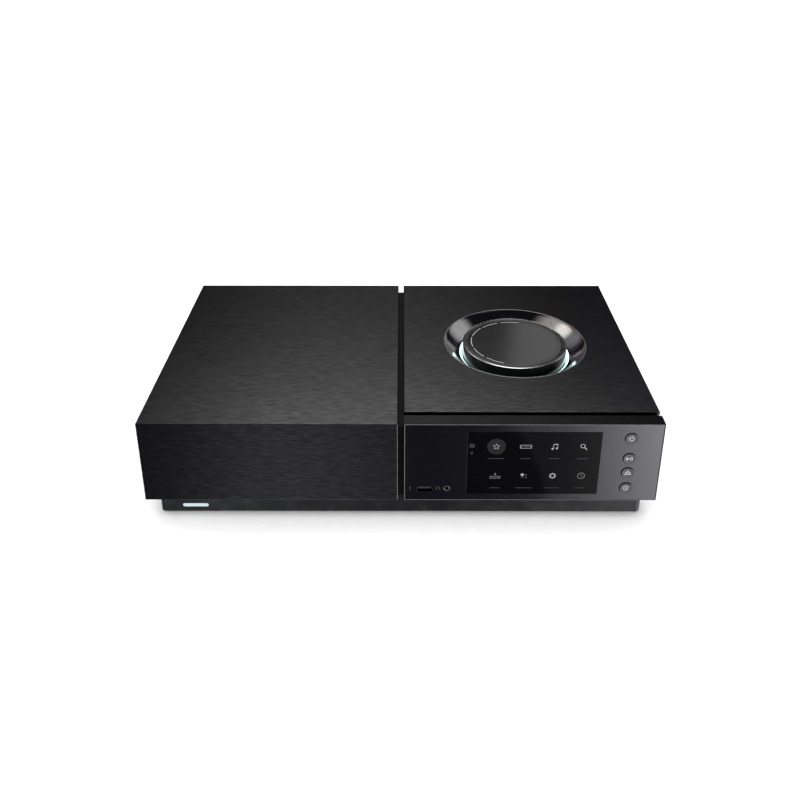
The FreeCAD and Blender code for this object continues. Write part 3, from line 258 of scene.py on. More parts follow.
class Shader(Tree):
    """Node tree of one procedural material, round a single surface shader."""

    def __init__(self, name: str) -> None:
        """Starts the material.

        Args:
            name: The material's name.
        """
        self.material = bpy.data.materials.new(name)
        super().__init__(self.material)
        self.surface = self.node("ShaderNodeBsdfPrincipled")
        self.node("ShaderNodeOutputMaterial", {"Surface": self.surface.outputs["BSDF"]})

    def set(self, **values: object) -> None:
        """Puts outputs or values on the surface shader's own sockets, named with underscores for spaces."""
        for key, value in values.items():
            self.put(self.surface.inputs[key.replace("_", " ")], value)

    def place(self, stretch: Triple = (1.0, 1.0, 1.0), origin: Triple = (0.0, 0.0, 0.0)) -> Socket:
        """Object coordinates in millimetres, moved and stretched.

        Args:
            stretch: Pace of the pattern along each axis.
            origin: Point, in millimetres, that becomes zero.

        Returns:
            The coordinates.
        """
        made = self.node("ShaderNodeMapping", {
            "Vector": self.node("ShaderNodeTexCoord").outputs["Object"],
            "Location": [-o * s for o, s in zip(origin, stretch)],
            "Scale": [s / MM for s in stretch]})
        return made.outputs["Vector"]

    def flat(self, centre: Pair) -> Socket:
        """Object coordinates in millimetres from an upright axis, without the height."""
        return self.place((1.0, 1.0, 0.0), (*centre, 0.0))

    def radius(self, centre: Pair) -> Socket:
        """Distance from an upright axis in millimetres."""
        return self.vectors("LENGTH", {0: self.flat(centre)}, "Value")

    def noise(self, vector: Socket, pitch: float, detail: float = 2.0, rough: float = 0.5) -> Socket:
        """Cloudy pattern.

        Args:
            vector: Coordinates.
            pitch: Size of the pattern's marks in the coordinates' units.
            detail: Layers of finer marks.
            rough: Strength of the finer marks.

        Returns:
            A value about 0.5.
        """
        made = self.node("ShaderNodeTexNoise", {
            "Vector": vector, "Scale": 1.0 / pitch, "Detail": detail, "Roughness": rough})
        return made.outputs["Fac"]

    def cells(self, vector: Socket, pitch: float) -> Socket:
        """Distance to points scattered at a mean pitch, for flakes and pits."""
        return self.node("ShaderNodeTexVoronoi", {"Vector": vector, "Scale": 1.0 / pitch}).outputs["Distance"]

    def fit(self, value: Socket, low: float, high: float, to_low: float = 0.0, to_high: float = 1.0) -> Socket:
        """Carries a value from one range to another, held at both ends.

        Args:
            value: What is carried.
            low: Start of its range.
            high: End of its range.
            to_low: Result at the start.
            to_high: Result at the end.

        Returns:
            The result.
        """
        made = self.node("ShaderNodeMapRange", {
            "Value": value, "From Min": low, "From Max": high, "To Min": to_low, "To Max": to_high})
        return made.outputs["Result"]

    def maths(self, operation: str, first: Socket, second: Socket | float = 0.0) -> Socket:
        """Works out one value from one or two."""
        return self.node("ShaderNodeMath", {0: first, 1: second}, operation=operation).outputs["Value"]

    def product(self, first: Socket, second: Socket | float) -> Socket:
        """Product of two values."""
        return self.maths("MULTIPLY", first, second)

    def laps(self, value: Socket, count: float) -> Socket:
        """Value that climbs from 0 to 1 a number of times while another climbs once."""
        return self.maths("FRACT", self.product(value, count))

    def blend(self, share: Socket, low: Triple | Socket, high: Triple) -> Socket:
        """Mixes two colours by the share of the second."""
        return self.node("ShaderNodeMix", {"Factor": share, 6: low, 7: high}, data_type="RGBA").outputs[2]

    def softened(self, radius: float) -> Socket:
        """Normal with sharp edges rounded to a radius in millimetres."""
        return self.node("ShaderNodeBevel", {"Radius": radius * MM}, samples=BEVEL_SAMPLES).outputs["Normal"]

    def edges(self, reach: float) -> Socket:
        """Mask of the strip along sharp edges, where a finish wears first and a painted highlight is laid.

        Args:
            reach: Width of the strip in millimetres.

        Returns:
            1 at an edge and 0 away from it.
        """
        flat = self.node("ShaderNodeNewGeometry").outputs["Normal"]
        return self.fit(self.vectors("DOT_PRODUCT", {0: self.softened(reach), 1: flat}, "Value"), 0.995, 0.93)

    def relief(self, height: Socket, depth: float, edge: float = 0.0) -> None:
        """Gives the surface a fine relief, and soft edges where a radius is stated.

        Args:
            height: Pattern whose light parts stand out.
            depth: Height of the relief in millimetres.
            edge: Radius of the softened edges in millimetres.
        """
        bump = self.node("ShaderNodeBump", {"Strength": 1.0, "Distance": depth * MM, "Height": height})
        if edge:
            self.put(bump.inputs["Normal"], self.softened(edge))
        self.set(Normal=bump.outputs["Normal"])


@dataclass(frozen=True)
class Finish:
    """Finish of a surface; its material is made once and shared."""

    name: str

    def material(self) -> bpy.types.Material:
        """Looks the finish's material up, and makes it on first use.

        Returns:
            The material.
        """
        made = bpy.data.materials.get(self.name)
        if made is None:
            shader = Shader(self.name)
            self.fill(shader)
            made = shader.material
        return made

    def fill(self, shader: Shader) -> None:
        """Puts the material together; each kind of finish has its own way.

        Args:
            shader: The material's tree.
        """
        raise NotImplementedError


@dataclass(frozen=True)
class BrushedMetal(Finish):
    """Metal brushed in straight strokes, anodised or bare, with an optional rim at its front painted a lighter grey as
    a highlight.
    """

    dark: Triple
    light: Triple
    # Edge colour: partly wear, partly a painted highlight along sharp edges.
    edge: Triple
    roughness: float
    grain: Grain = Grain.ALONG_X
    anisotropy: float = 0.2
    stroke: float = 0.30
    stroke_pace: float = 0.02
    streak: float = 0.68
    streak_pace: float = 0.065
    cloud: float = 70.0
    depth: float = 0.003
    # Reach of the edge strip that carries wear and a painted highlight.
    wear_and_highlight_reach: float = 0.7
    round_edge: float = 0.18
    rim_front: Optional[float] = None
    rim_depth: float = 0.06
    rim_end: float = 215.1
    rim_fade: float = 0.2
    # Lighter grey of the rim: a painted highlight.
    rim_highlight_colour: Triple = (0.19, 0.19, 0.20)
    rim_metallic: float = 0.35

    def fill(self, shader: Shader) -> None:
        """Fine strokes in the relief and the roughness, short streaks and clouds in the colour, and a lighter edge
        strip that is partly wear and partly a painted highlight.

        Args:
            shader: The material's tree.
        """
        fine = shader.noise(shader.place(self.grain.pace(self.stroke_pace)), self.stroke, 2.0, 0.6)
        short = shader.noise(shader.place(self.grain.pace(self.streak_pace)), self.streak, 2.0, 0.6)
        cloud = shader.noise(shader.place(), self.cloud, 1.0)
        tone = shader.product(shader.fit(short, 0.36, 0.64), shader.fit(cloud, 0.3, 0.7, 0.85, 1.0))
        # Lighter edge strip: partly wear, partly a painted highlight.
        colour = shader.blend(shader.edges(self.wear_and_highlight_reach), shader.blend(tone, self.dark, self.light), self.edge)
        metallic: Socket | float = 1.0
        # Painted highlight: the rim takes a lighter, less metallic grey.
        if self.rim_front is not None:
            mask = self.rim(shader)
            colour = shader.blend(mask, colour, self.rim_highlight_colour)
            metallic = shader.fit(mask, 0.0, 1.0, 1.0, self.rim_metallic)
        tangent = shader.node("ShaderNodeCombineXYZ", dict(zip("XYZ", self.grain.across())))
        shader.set(Base_Color=colour, Metallic=metallic, Anisotropic=self.anisotropy,
                   Roughness=shader.fit(fine, 0.25, 0.75, self.roughness - 0.05, self.roughness + 0.05),
                   Tangent=tangent.outputs["Vector"])
        shader.relief(shader.maths("ADD", fine, short), self.depth, self.round_edge)

    def rim(self, shader: Shader) -> Socket:
        """Mask of the narrow rim in front of the recessed panel, where a lighter grey is painted on as a highlight.

        Args:
            shader: The material's tree.

        Returns:
            1 on the rim and 0 elsewhere.
        """
        parts = shader.node("ShaderNodeSeparateXYZ", {"Vector": shader.place()}).outputs
        return shader.product(shader.fit(parts["Y"], self.rim_front, self.rim_front + self.rim_depth, 1.0, 0.0),
                              shader.fit(parts["X"], self.rim_end - self.rim_fade, self.rim_end, 1.0, 0.0))


@dataclass(frozen=True)
class TurnedMetal(Finish):
    """Metal turned or polished on a lathe, with fine rings about the dish's axis."""

    dark: Triple
    light: Triple
    roughness: float
    pitch: float
    anisotropy: float
    depth: float = 0.001
    cloud: float = 9.0

    def fill(self, shader: Shader) -> None:
        """Rings by distance from the upright axis, over faint clouds.

        Args:
            shader: The material's tree.
        """
        steps = shader.product(shader.radius(DISH_CENTRE), 1.0 / self.pitch)
        rings = shader.node("ShaderNodeTexNoise", {"W": steps, "Scale": 1.0, "Detail": 3.0},
                            noise_dimensions="1D").outputs["Fac"]
        cloud = shader.noise(shader.place(), self.cloud, 3.0)
        tone = shader.fit(shader.maths("ADD", rings, cloud), 0.7, 1.3)
        tangent = shader.node("ShaderNodeTangent", direction_type="RADIAL", axis="Z")
        shader.set(Base_Color=shader.blend(tone, self.dark, self.light), Metallic=1.0,
                   Roughness=shader.fit(cloud, 0.3, 0.7, self.roughness - 0.02, self.roughness + 0.03),
                   Anisotropic=self.anisotropy, Anisotropic_Rotation=0.25, Tangent=tangent.outputs["Tangent"])
        shader.relief(rings, self.depth)


@dataclass(frozen=True)
class Grainy(Finish):
    """Paint, casting, rubber, moulded plastic or plating with an even fine grain."""

    dark: Triple
    light: Triple
    # Edge colour: partly wear, partly a painted highlight along sharp edges.
    edge: Triple
    roughness: float
    metallic: float = 0.0
    grain: float = 0.3
    depth: float = 0.02
    specular: float = 0.5
    round_edge: float = 0.2
    pit_share: float = 1.7
    cloud: float = 14.0
    wear_and_highlight_reach: float = 0.25

    def fill(self, shader: Shader) -> None:
        """Two sizes of grain in the relief, clouds in the colour, and lighter edges that are partly wear and partly a
        painted highlight.

        Args:
            shader: The material's tree.
        """
        here = shader.place()
        grain = shader.noise(here, self.grain, 3.0, 0.6)
        pits = shader.cells(here, self.grain * self.pit_share)
        cloud = shader.noise(here, self.cloud, 3.0)
        tone = shader.fit(shader.maths("ADD", cloud, shader.fit(grain, 0.3, 0.7, -0.15, 0.15)), 0.35, 0.7)
        # Lighter edge strip: partly wear, partly a painted highlight.
        colour = shader.blend(shader.edges(self.wear_and_highlight_reach), shader.blend(tone, self.dark, self.light), self.edge)
        shader.set(Base_Color=colour, Metallic=self.metallic, Specular_IOR_Level=self.specular,
                   Roughness=shader.fit(cloud, 0.3, 0.7, self.roughness - 0.05, self.roughness + 0.06))
        shader.relief(shader.maths("ADD", grain, shader.fit(pits, 0.0, 0.6, 0.0, 0.5)), self.depth, self.round_edge)


@dataclass(frozen=True)
class Lacquer(Finish):
    """Gloss lacquer or glass: a dark ground with fine flakes, faint smears and a smooth face."""

    ground: Triple
    flake: Triple
    roughness: float
    metallic: float = 0.0
    specular: float = 0.5
    ripple: float = 0.0006
    flake_pitch: float = 0.16
    cloud: float = 30.0
    smear: float = 6.0
    wave: float = 3.5
    round_edge: float = 0.12

    def fill(self, shader: Shader) -> None:
        """Flakes in the colour, wiping marks in the roughness and a trace of ripple.

        Args:
            shader: The material's tree.
        """
        here = shader.place()
        flakes = shader.fit(shader.cells(here, self.flake_pitch), 0.0, 0.35, 1.0, 0.0)
        cloud = shader.noise(here, self.cloud, 2.0)
        tone = shader.product(flakes, shader.fit(cloud, 0.3, 0.7, 0.5, 1.0))
        wiped = shader.noise(shader.place((0.25, 1.0, 1.0)), self.smear, 4.0, 0.65)
        shader.set(Base_Color=shader.blend(tone, self.ground, self.flake), Metallic=self.metallic,
                   Specular_IOR_Level=self.specular,
                   Roughness=shader.fit(wiped, 0.35, 0.75, self.roughness, self.roughness + 0.04))
        shader.relief(shader.noise(here, self.wave, 2.0), self.ripple, self.round_edge)


@dataclass(frozen=True)
class Glow(Finish):
    """Frosted window lit from behind."""

    colour: Triple
    strength: float
    fade: Optional[Pair] = None
    mottle: float = 1.3

    def dimmed(self, share: float) -> Triple:
        """The light's colour at a share of its strength."""
        return tuple(share * c for c in self.colour)

    def fill(self, shader: Shader) -> None:
        """Light with a faint mottle from the frosted face, that may fade between two radii of the dish.

        Args:
            shader: The material's tree.
        """
        mottle = shader.fit(shader.noise(shader.place(), self.mottle, 3.0), 0.3, 0.6)
        light = shader.blend(mottle, self.dimmed(0.86), self.colour)
        if self.fade:
            light = shader.blend(shader.fit(shader.radius(DISH_CENTRE), *self.fade, 1.0, 0.0), light, self.dimmed(0.04))
        shader.set(Base_Color=shader.blend(mottle, self.dimmed(0.006), self.dimmed(0.012)), Emission_Color=light,
                   Emission_Strength=self.strength, Roughness=0.45, Specular_IOR_Level=0.1)
        shader.relief(shader.noise(shader.place(), 0.25, 2.0), 0.004)


@dataclass(frozen=True)
class CircuitBoard(Finish):
    """Solder mask over copper tracks."""

    mask: Triple
    track: Triple
    scale: float = 0.22

    def fill(self, shader: Shader) -> None:
        """Square-cornered tracks that stand a little proud under the mask.

        Args:
            shader: The material's tree.
        """
        cells = shader.node("ShaderNodeTexVoronoi", {"Vector": shader.place(), "Scale": self.scale},
                            distance="MANHATTAN")
        lines = shader.fit(shader.laps(cells.outputs["Distance"], 3.0), 0.55, 0.62)
        weave = shader.noise(shader.place(), 0.4, 2.0)
        shader.set(Base_Color=shader.blend(lines, self.mask, self.track),
                   Roughness=shader.fit(weave, 0.3, 0.7, 0.30, 0.42))
        shader.relief(lines, 0.03)


@dataclass(frozen=True)
class Winding(Finish):
    """Glossy tape wound over enamelled wire, in laps about the transformer's axis."""

    tape: Triple
    wire: Triple
    laps: float = 46.0
    wires: float = 460.0

    def fill(self, shader: Shader) -> None:
        """Laps of tape by the angle round the ring, and wires inside each lap.

        Args:
            shader: The material's tree.
        """
        turn = shader.node("ShaderNodeTexGradient", {"Vector": shader.flat(TOROID_CENTRE)}, gradient_type="RADIAL")
        laps, wires = (shader.laps(turn.outputs["Fac"], count) for count in (self.laps, self.wires))
        tone = shader.product(shader.fit(laps, 0.0, 1.0, 0.5, 1.0), shader.fit(wires, 0.0, 1.0, 0.6, 1.0))
        shader.set(Base_Color=shader.blend(tone, self.tape, self.wire),
                   Roughness=shader.fit(shader.noise(shader.place(), 8.0, 2.0), 0.3, 0.7, 0.25, 0.4))
        shader.relief(laps, 0.12)


def grey(level: float, blue: Optional[float] = None) -> Triple:
    """Neutral colour, or one with its own blue where it is a little cool or warm."""
    return level, level, level if blue is None else blue


COVER = BrushedMetal("brushed_black_anodised", grey(0.046, 0.047), grey(0.114, 0.115), grey(0.09), 0.19, wear_and_highlight_reach=0.35)
# The fascia's rim at its front carries a painted highlight.
LEDGE = BrushedMetal("brushed_fascia_anodised", grey(0.012, 0.0126), grey(0.024, 0.0246), grey(0.03), 0.20,
                     rim_front=-132.45)
# The heat sinks' light edge colour paints highlights along the fin edges.
SINK = BrushedMetal("extruded_black_anodised", grey(0.060, 0.063), grey(0.100, 0.104), grey(0.25, 0.26), 0.36,
                    grain=Grain.ALONG_Z, anisotropy=0.3, streak=1.2)
BOWL = TurnedMetal("polished_dark_nickel", (0.42, 0.41, 0.40), (0.56, 0.55, 0.54), 0.10, 0.3, 0.4, 0.0002)
LIP = TurnedMetal("turned_grey_lip", grey(0.24), grey(0.34), 0.30, 0.15, 0.3)
DIAL_BAND = TurnedMetal("turned_grey_band", grey(0.105), grey(0.175), 0.26, 0.10, 0.5)
DIAL_WALL = TurnedMetal("polished_black_wall", (0.0018, 0.0022, 0.0021), (0.0032, 0.004, 0.0038), 0.12, 0.4, 0.2,
                        0.0004)
DIAL_LIP = TurnedMetal("bright_turned_lip", grey(0.72), grey(0.90), 0.17, 0.12, 0.4)
PANEL = Lacquer("dark_metallic_lacquer", grey(0.080, 0.083), grey(0.108, 0.112), 0.08, metallic=1.0)
SCREEN = Lacquer("black_screen_glass", grey(0.0012, 0.0016), grey(0.0022, 0.0028), 0.03, specular=0.13, ripple=0.0001)
DIAL_GLASS = Lacquer("black_dial_glass", grey(0.004, 0.0045), grey(0.007, 0.008), 0.14, ripple=0.0004)
LEVEL_DARK = Lacquer("level_unlit", grey(0.008, 0.009), grey(0.012, 0.013), 0.2, specular=0.3)
BUTTON = Lacquer("button_grey_satin", grey(0.075, 0.078), grey(0.105, 0.108), 0.16, metallic=1.0)
RING_LIGHT = Glow("ring_light", (0.66, 1.0, 0.93), 3.6, (49.9, 51.2))
BUTTON_LIT = Glow("button_lit", grey(0.95), 0.62)
LAMP_LIGHT = Glow("plinth_lamp_light", (0.80, 0.97, 1.0), 0.85)
LEVEL_LIT = Glow("level_lit", (0.92, 0.98, 0.96), 0.85)
ICON_BRIGHT = Glow("icon_bright", grey(0.90), 0.50)
ICON_MIDDLE = Glow("icon_middle", grey(0.80, 0.82), 0.30)
ICON_DIM = Glow("icon_dim", grey(0.70, 0.74), 0.10)
ICON_HALO = Glow("icon_halo", grey(0.75, 0.78), 0.0045)
CHANNEL = Grainy("channel_black_satin", grey(0.004, 0.0045), grey(0.008, 0.009), grey(0.02), 0.5, grain=0.5,
                 depth=0.006, specular=0.06)
CASTING = Grainy("powder_coated_casting", grey(0.024, 0.025), grey(0.032, 0.033), grey(0.05), 0.24, metallic=0.8,
                 grain=0.45, depth=0.006)
STEEL = Grainy("textured_black_paint", grey(0.021, 0.022), grey(0.027, 0.028), grey(0.06), 0.52, depth=0.03)
DARK_NICKEL = Grainy("dark_nickel", grey(0.009, 0.010), grey(0.016, 0.017), grey(0.03), 0.28, metallic=1.0, grain=0.5,
                     depth=0.003)
RING_NICKEL = Grainy("bright_nickel", grey(0.10), grey(0.16), grey(0.3), 0.22, metallic=1.0, grain=0.5, depth=0.002)
ZINC = Grainy("bright_zinc", grey(0.42, 0.43), grey(0.62), grey(0.8), 0.30, metallic=1.0, grain=0.5, depth=0.003)
GOLD = Grainy("gold_plate", (0.62, 0.42, 0.16), (0.80, 0.58, 0.26), (0.9, 0.72, 0.4), 0.24, metallic=1.0, grain=0.4,
              depth=0.002)
PLASTIC = Grainy("moulded_black", grey(0.012, 0.013), grey(0.018, 0.019), grey(0.04), 0.42, grain=0.25, depth=0.010)
RED_RING = Grainy("moulded_red", (0.24, 0.012, 0.012), (0.34, 0.022, 0.02), (0.4, 0.06, 0.06), 0.36, depth=0.006)
WHITE_RING = Grainy("moulded_white", grey(0.55, 0.54), grey(0.68, 0.66), grey(0.75, 0.74), 0.38, depth=0.006)
ORANGE_RING = Grainy("moulded_orange", (0.45, 0.14, 0.015), (0.58, 0.20, 0.03), (0.7, 0.3, 0.1), 0.38, depth=0.006)
RUBBER = Grainy("black_rubber", grey(0.012), grey(0.020), grey(0.03), 0.75)
SLEEVE = Grainy("sleeved_can", (0.012, 0.020, 0.075), (0.020, 0.032, 0.110), grey(0.3, 0.32), 0.30, grain=0.8,
                depth=0.01)
FLOOR = Grainy("pale_floor", grey(0.86), grey(0.88), grey(0.88), 0.9, grain=4.0, specular=0.0, round_edge=0.0)
BOARD = CircuitBoard("green_circuit_board", (0.010, 0.055, 0.028), (0.022, 0.120, 0.060))
WINDING = Winding("taped_winding", (0.30, 0.20, 0.05), (0.42, 0.16, 0.05))


class Draft:
    """Mesh that grows shape by shape, in millimetres, and ends as one piece in metres."""

    def __init__(self) -> None:
        """Starts an empty mesh."""
        self.mesh = bmesh.new()

    def _join(self, rings: Sequence[Sequence[Vector]], closed: bool, skin: int) -> list[list[bmesh.types.BMVert]]:
        """Joins rings of points, each to the next, with four-sided faces.

        Args:
            rings: Rings with the same number of points.
            closed: Whether the last ring joins the first.
            skin: Number of the finish.

        Returns:
            The rings' vertices.
        """
        made = [[self.mesh.verts.new(point) for point in ring] for ring in rings]
        count = len(made[0])
        for i in range(len(made) if closed else len(made) - 1):
            here, there = made[i], made[(i + 1) % len(made)]
            for k in range(count):
                j = (k + 1) % count
                self.mesh.faces.new((here[k], here[j], there[j], there[k])).material_index = skin
        return made

    def _round(self, edges: Sequence[bmesh.types.BMEdge], radius: float) -> None:
        """Rounds edges by a radius."""
        bmesh.ops.bevel(self.mesh, geom=edges, offset=radius, segments=BEVEL_SEGMENTS, profile=0.5, affect="EDGES")

    def turned(self, profile: Sequence[Pair], u: float, v: float, axis: Axis = Axis.BACK, count: int = MEDIUM,
               skin: int = 0) -> "Draft":
        """Adds a solid turned about an axis.

        Args:
            profile: Closed run of pairs of radius and height.
            u: Axis across.
            v: Axis along the second flat direction.
            axis: Direction of the axis.
            count: Spans round the axis.
            skin: Number of the finish.

        Returns:
            The draft.
        """
        turns = [math.tau * i / count for i in range(count)]
        rings = [[axis.place(u + r * math.cos(a), v + r * math.sin(a), h) for a in turns] for r, h in profile]
        made = self._join(rings, True, skin)
        bmesh.ops.remove_doubles(self.mesh, verts=[vertex for ring in made for vertex in ring], dist=WELD)
        return self

    def prism(self, outline: Sequence[Pair], low: float, high: float, axis: Axis = Axis.BACK, skin: int = 0,
              bevel: float = 0.0) -> "Draft":
        """Adds a flat outline drawn out along an axis.

        Args:
            outline: Closed outline.
            low: Start along the axis.
            high: End along the axis.
            axis: Direction in which it is drawn out.
            skin: Number of the finish.
            bevel: Width of the rounded edge round both ends.

        Returns:
            The draft.
        """
        made = self._join([[axis.place(u, v, along) for u, v in outline] for along in (low, high)], False, skin)
        caps = [self.mesh.faces.new(made[0][::-1]), self.mesh.faces.new(made[1])]
        for cap in caps:
            cap.material_index = skin
        if bevel:
            self._round([edge for cap in caps for edge in cap.edges], bevel)
        return self

    def band(self, outer: Sequence[Pair], inner: Sequence[Pair], low: float, high: float) -> "Draft":
        """Adds the band between two outlines of as many points, drawn out towards the back.

        Args:
            outer: Outer outline.
            inner: Inner outline.
            low: Start from the front.
            high: End towards the back.

        Returns:
            The draft.
        """
        runs = ((outer, low), (outer, high), (inner, high), (inner, low))
        self._join([[Axis.BACK.place(u, v, along) for u, v in outline] for outline, along in runs], True, 0)
        return self

    def box(self, low: Triple, high: Triple, radius: float = 0.0) -> "Draft":
        """Adds a block with rounded edges.

        Args:
            low: Lowest corner.
            high: Highest corner.
            radius: Radius of the edges.

        Returns:
            The draft.
        """
        made = bmesh.ops.create_cube(self.mesh, size=1.0)["verts"]
        for vertex in made:
            vertex.co = Vector([a + (b - a) * (c + 0.5) for a, b, c in zip(low, high, vertex.co)])
        if radius:
            self._round(list(dict.fromkeys(edge for vertex in made for edge in vertex.link_edges)), radius)
        return self

    def dress(self, skin: int, test: Callable[[Vector], bool]) -> "Draft":
        """Gives a finish to some of the faces.

        Args:
            skin: Number of the finish.
            test: Takes a face's centre, and says whether the face takes the finish.

        Returns:
            The draft.
        """
        for face in self.mesh.faces:
            if test(face.calc_center_median()):
                face.material_index = skin
        return self

    def piece(self, name: str, finishes: Sequence[Finish], slot: str, body: str = ROOT,
              stands_for: Sequence[str] = ()) -> bpy.types.Object:
        """Ends the draft as a piece that rides on a body.

        Args:
            name: The piece's name.
            finishes: Finishes by number.
            slot: Material slot of the record; not used.
            body: Body that carries the piece.
            stands_for: Solids that the piece replaces.

        Returns:
            The piece.
        """
        bmesh.ops.recalc_face_normals(self.mesh, faces=self.mesh.faces)
        bmesh.ops.scale(self.mesh, vec=(MM, MM, MM), verts=self.mesh.verts)
        data = bpy.data.meshes.new(name)
        self.mesh.to_mesh(data)
        self.mesh.free()
        for finish in finishes:
            data.materials.append(finish.material())
        data.shade_smooth()
        data.set_sharp_from_angle(angle=math.radians(SHARP_DEGREES))
        made = add_object(name, data)
        even = made.modifiers.new("even_shading", "WEIGHTED_NORMAL")
        even.keep_sharp = True
        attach(made, body)
        if stands_for:
            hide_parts(*stands_for)
        log.info("piece %s on %s", name, body)
        return made


@dataclass(frozen=True)
class Case:
    """Solids that the scene keeps: the outside, some of the sockets and everything inside."""

    finishes: tuple[tuple[Finish, tuple[str, ...]], ...] = (
        (COVER, ("left_cover", "top_plate")), (LEDGE, ("fascia_frame",)), (CHANNEL, ("centre_spine",)),
        (PANEL, ("front_panel",)), (SCREEN, ("screen_glass",)), (CASTING, ("base_plinth", "dial_hub")),
        (LAMP_LIGHT, ("plinth_lamp",)), (RUBBER, ("feet", "transformer_pad")),
        (SINK, ("heat_sink_left", "heat_sink_right")), (STEEL, ("rear_panel", "chassis_tray")),
        (PLASTIC, ("optical_sockets", "optical_flap_low", "optical_flap_high", "mains_inlet", "mains_switch_frame",
                   "button_switches", "dial_code_ring", "dial_code_reader", "output_transistors", "network_socket",
                   "mains_rocker")),
        (ZINC, ("display_module", "dial_bearing", "video_socket", "rear_usb_socket", "transformer_clamp",
                "board_posts", "streamer_module")),
        (BOARD, ("control_board", "level_board", "power_board", "main_board")),
        (WINDING, ("toroid_transformer",)), (SLEEVE, ("reservoir_capacitors",)), (LEVEL_LIT, ("level_marks",)))

    def build(self) -> None:
        """Gives each solid its finish."""
        for finish, nodes in self.finishes:
            for name in nodes:
                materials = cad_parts[name].data.materials
                materials.clear()
                materials.append(finish.material())
                log.info("finish %s on %s", finish.name, name)


@dataclass(frozen=True)
class Bowl:
    """Polished bowl round the dial, and the ring of light at its throat."""

    top: float = 95.0
    lip_inner: float = 66.6
    lip_outer: float = 67.9
    lip_round: float = 0.25
    throat: float = 52.4
    throat_top: float = 82.5
    hollow: float = 0.55
    sag_out: float = 0.66
    sag_down: float = 0.75
    wall_spans: int = 14
    floor: float = 74.0
    gauge: float = 2.0
    flange: float = 74.9
    flange_top: float = 92.0
    light_low: float = 78.5
    light_high: float = 80.5
    light_inner: float = 49.95
    light_outer: float = 52.2
    light_round: float = 0.5

    def wall(self) -> list[Pair]:
        """Works out the bowl's wall, a little hollow.

        Returns:
            Points from the lip down to the throat.
        """
        points = []
        for i in range(self.wall_spans + 1):
            share = i / self.wall_spans
            sag = self.hollow * 4 * share * (1 - share)
            radius = self.lip_inner + (self.throat - self.lip_inner) * share
            height = self.top - self.lip_round + (self.throat_top - self.top + self.lip_round) * share
            points.append((radius + self.sag_out * sag, height - self.sag_down * sag))
        return points

    def profile(self) -> list[Pair]:
        """Works out the bowl's section.

        Returns:
            Closed profile: lip, wall, throat, floor, underside and flange.
        """
        under = self.floor - self.gauge
        flange_under = self.flange_top - self.gauge
        lip = rounded([(self.lip_outer, self.flange_top), (self.lip_outer, self.top, self.lip_round),
                       (self.lip_inner, self.top, self.lip_round), (self.lip_inner - 1.0, self.top - 1.0)])
        return lip[:-1] + self.wall()[1:] + [
            (self.throat, self.floor), (0.0, self.floor), (0.0, under), (self.throat + self.gauge, under),
            (self.lip_inner - self.gauge, flange_under), (self.flange, flange_under), (self.flange, self.flange_top)]

    def build(self) -> None:
        """Builds the bowl and its ring of light."""
        draft = Draft().turned(self.profile(), *DISH_CENTRE, Axis.UP, FINE)
        edge = self.lip_inner + 0.05
        draft.dress(1, lambda place: from_dish(place) > edge)
        draft.piece("polished_bowl", (BOWL, LIP), "dish", stands_for=("dish",))
        ring = rounded([(self.light_inner, self.light_low), (self.light_outer, self.light_low),
                        (self.light_outer, self.light_high, self.light_round),
                        (self.light_inner, self.light_high, self.light_round)])
        light = Draft().turned(ring, *DISH_CENTRE, Axis.UP, FINE)
        light.piece("ring_of_light", (RING_LIGHT,), "light", stands_for=("light_ring",))


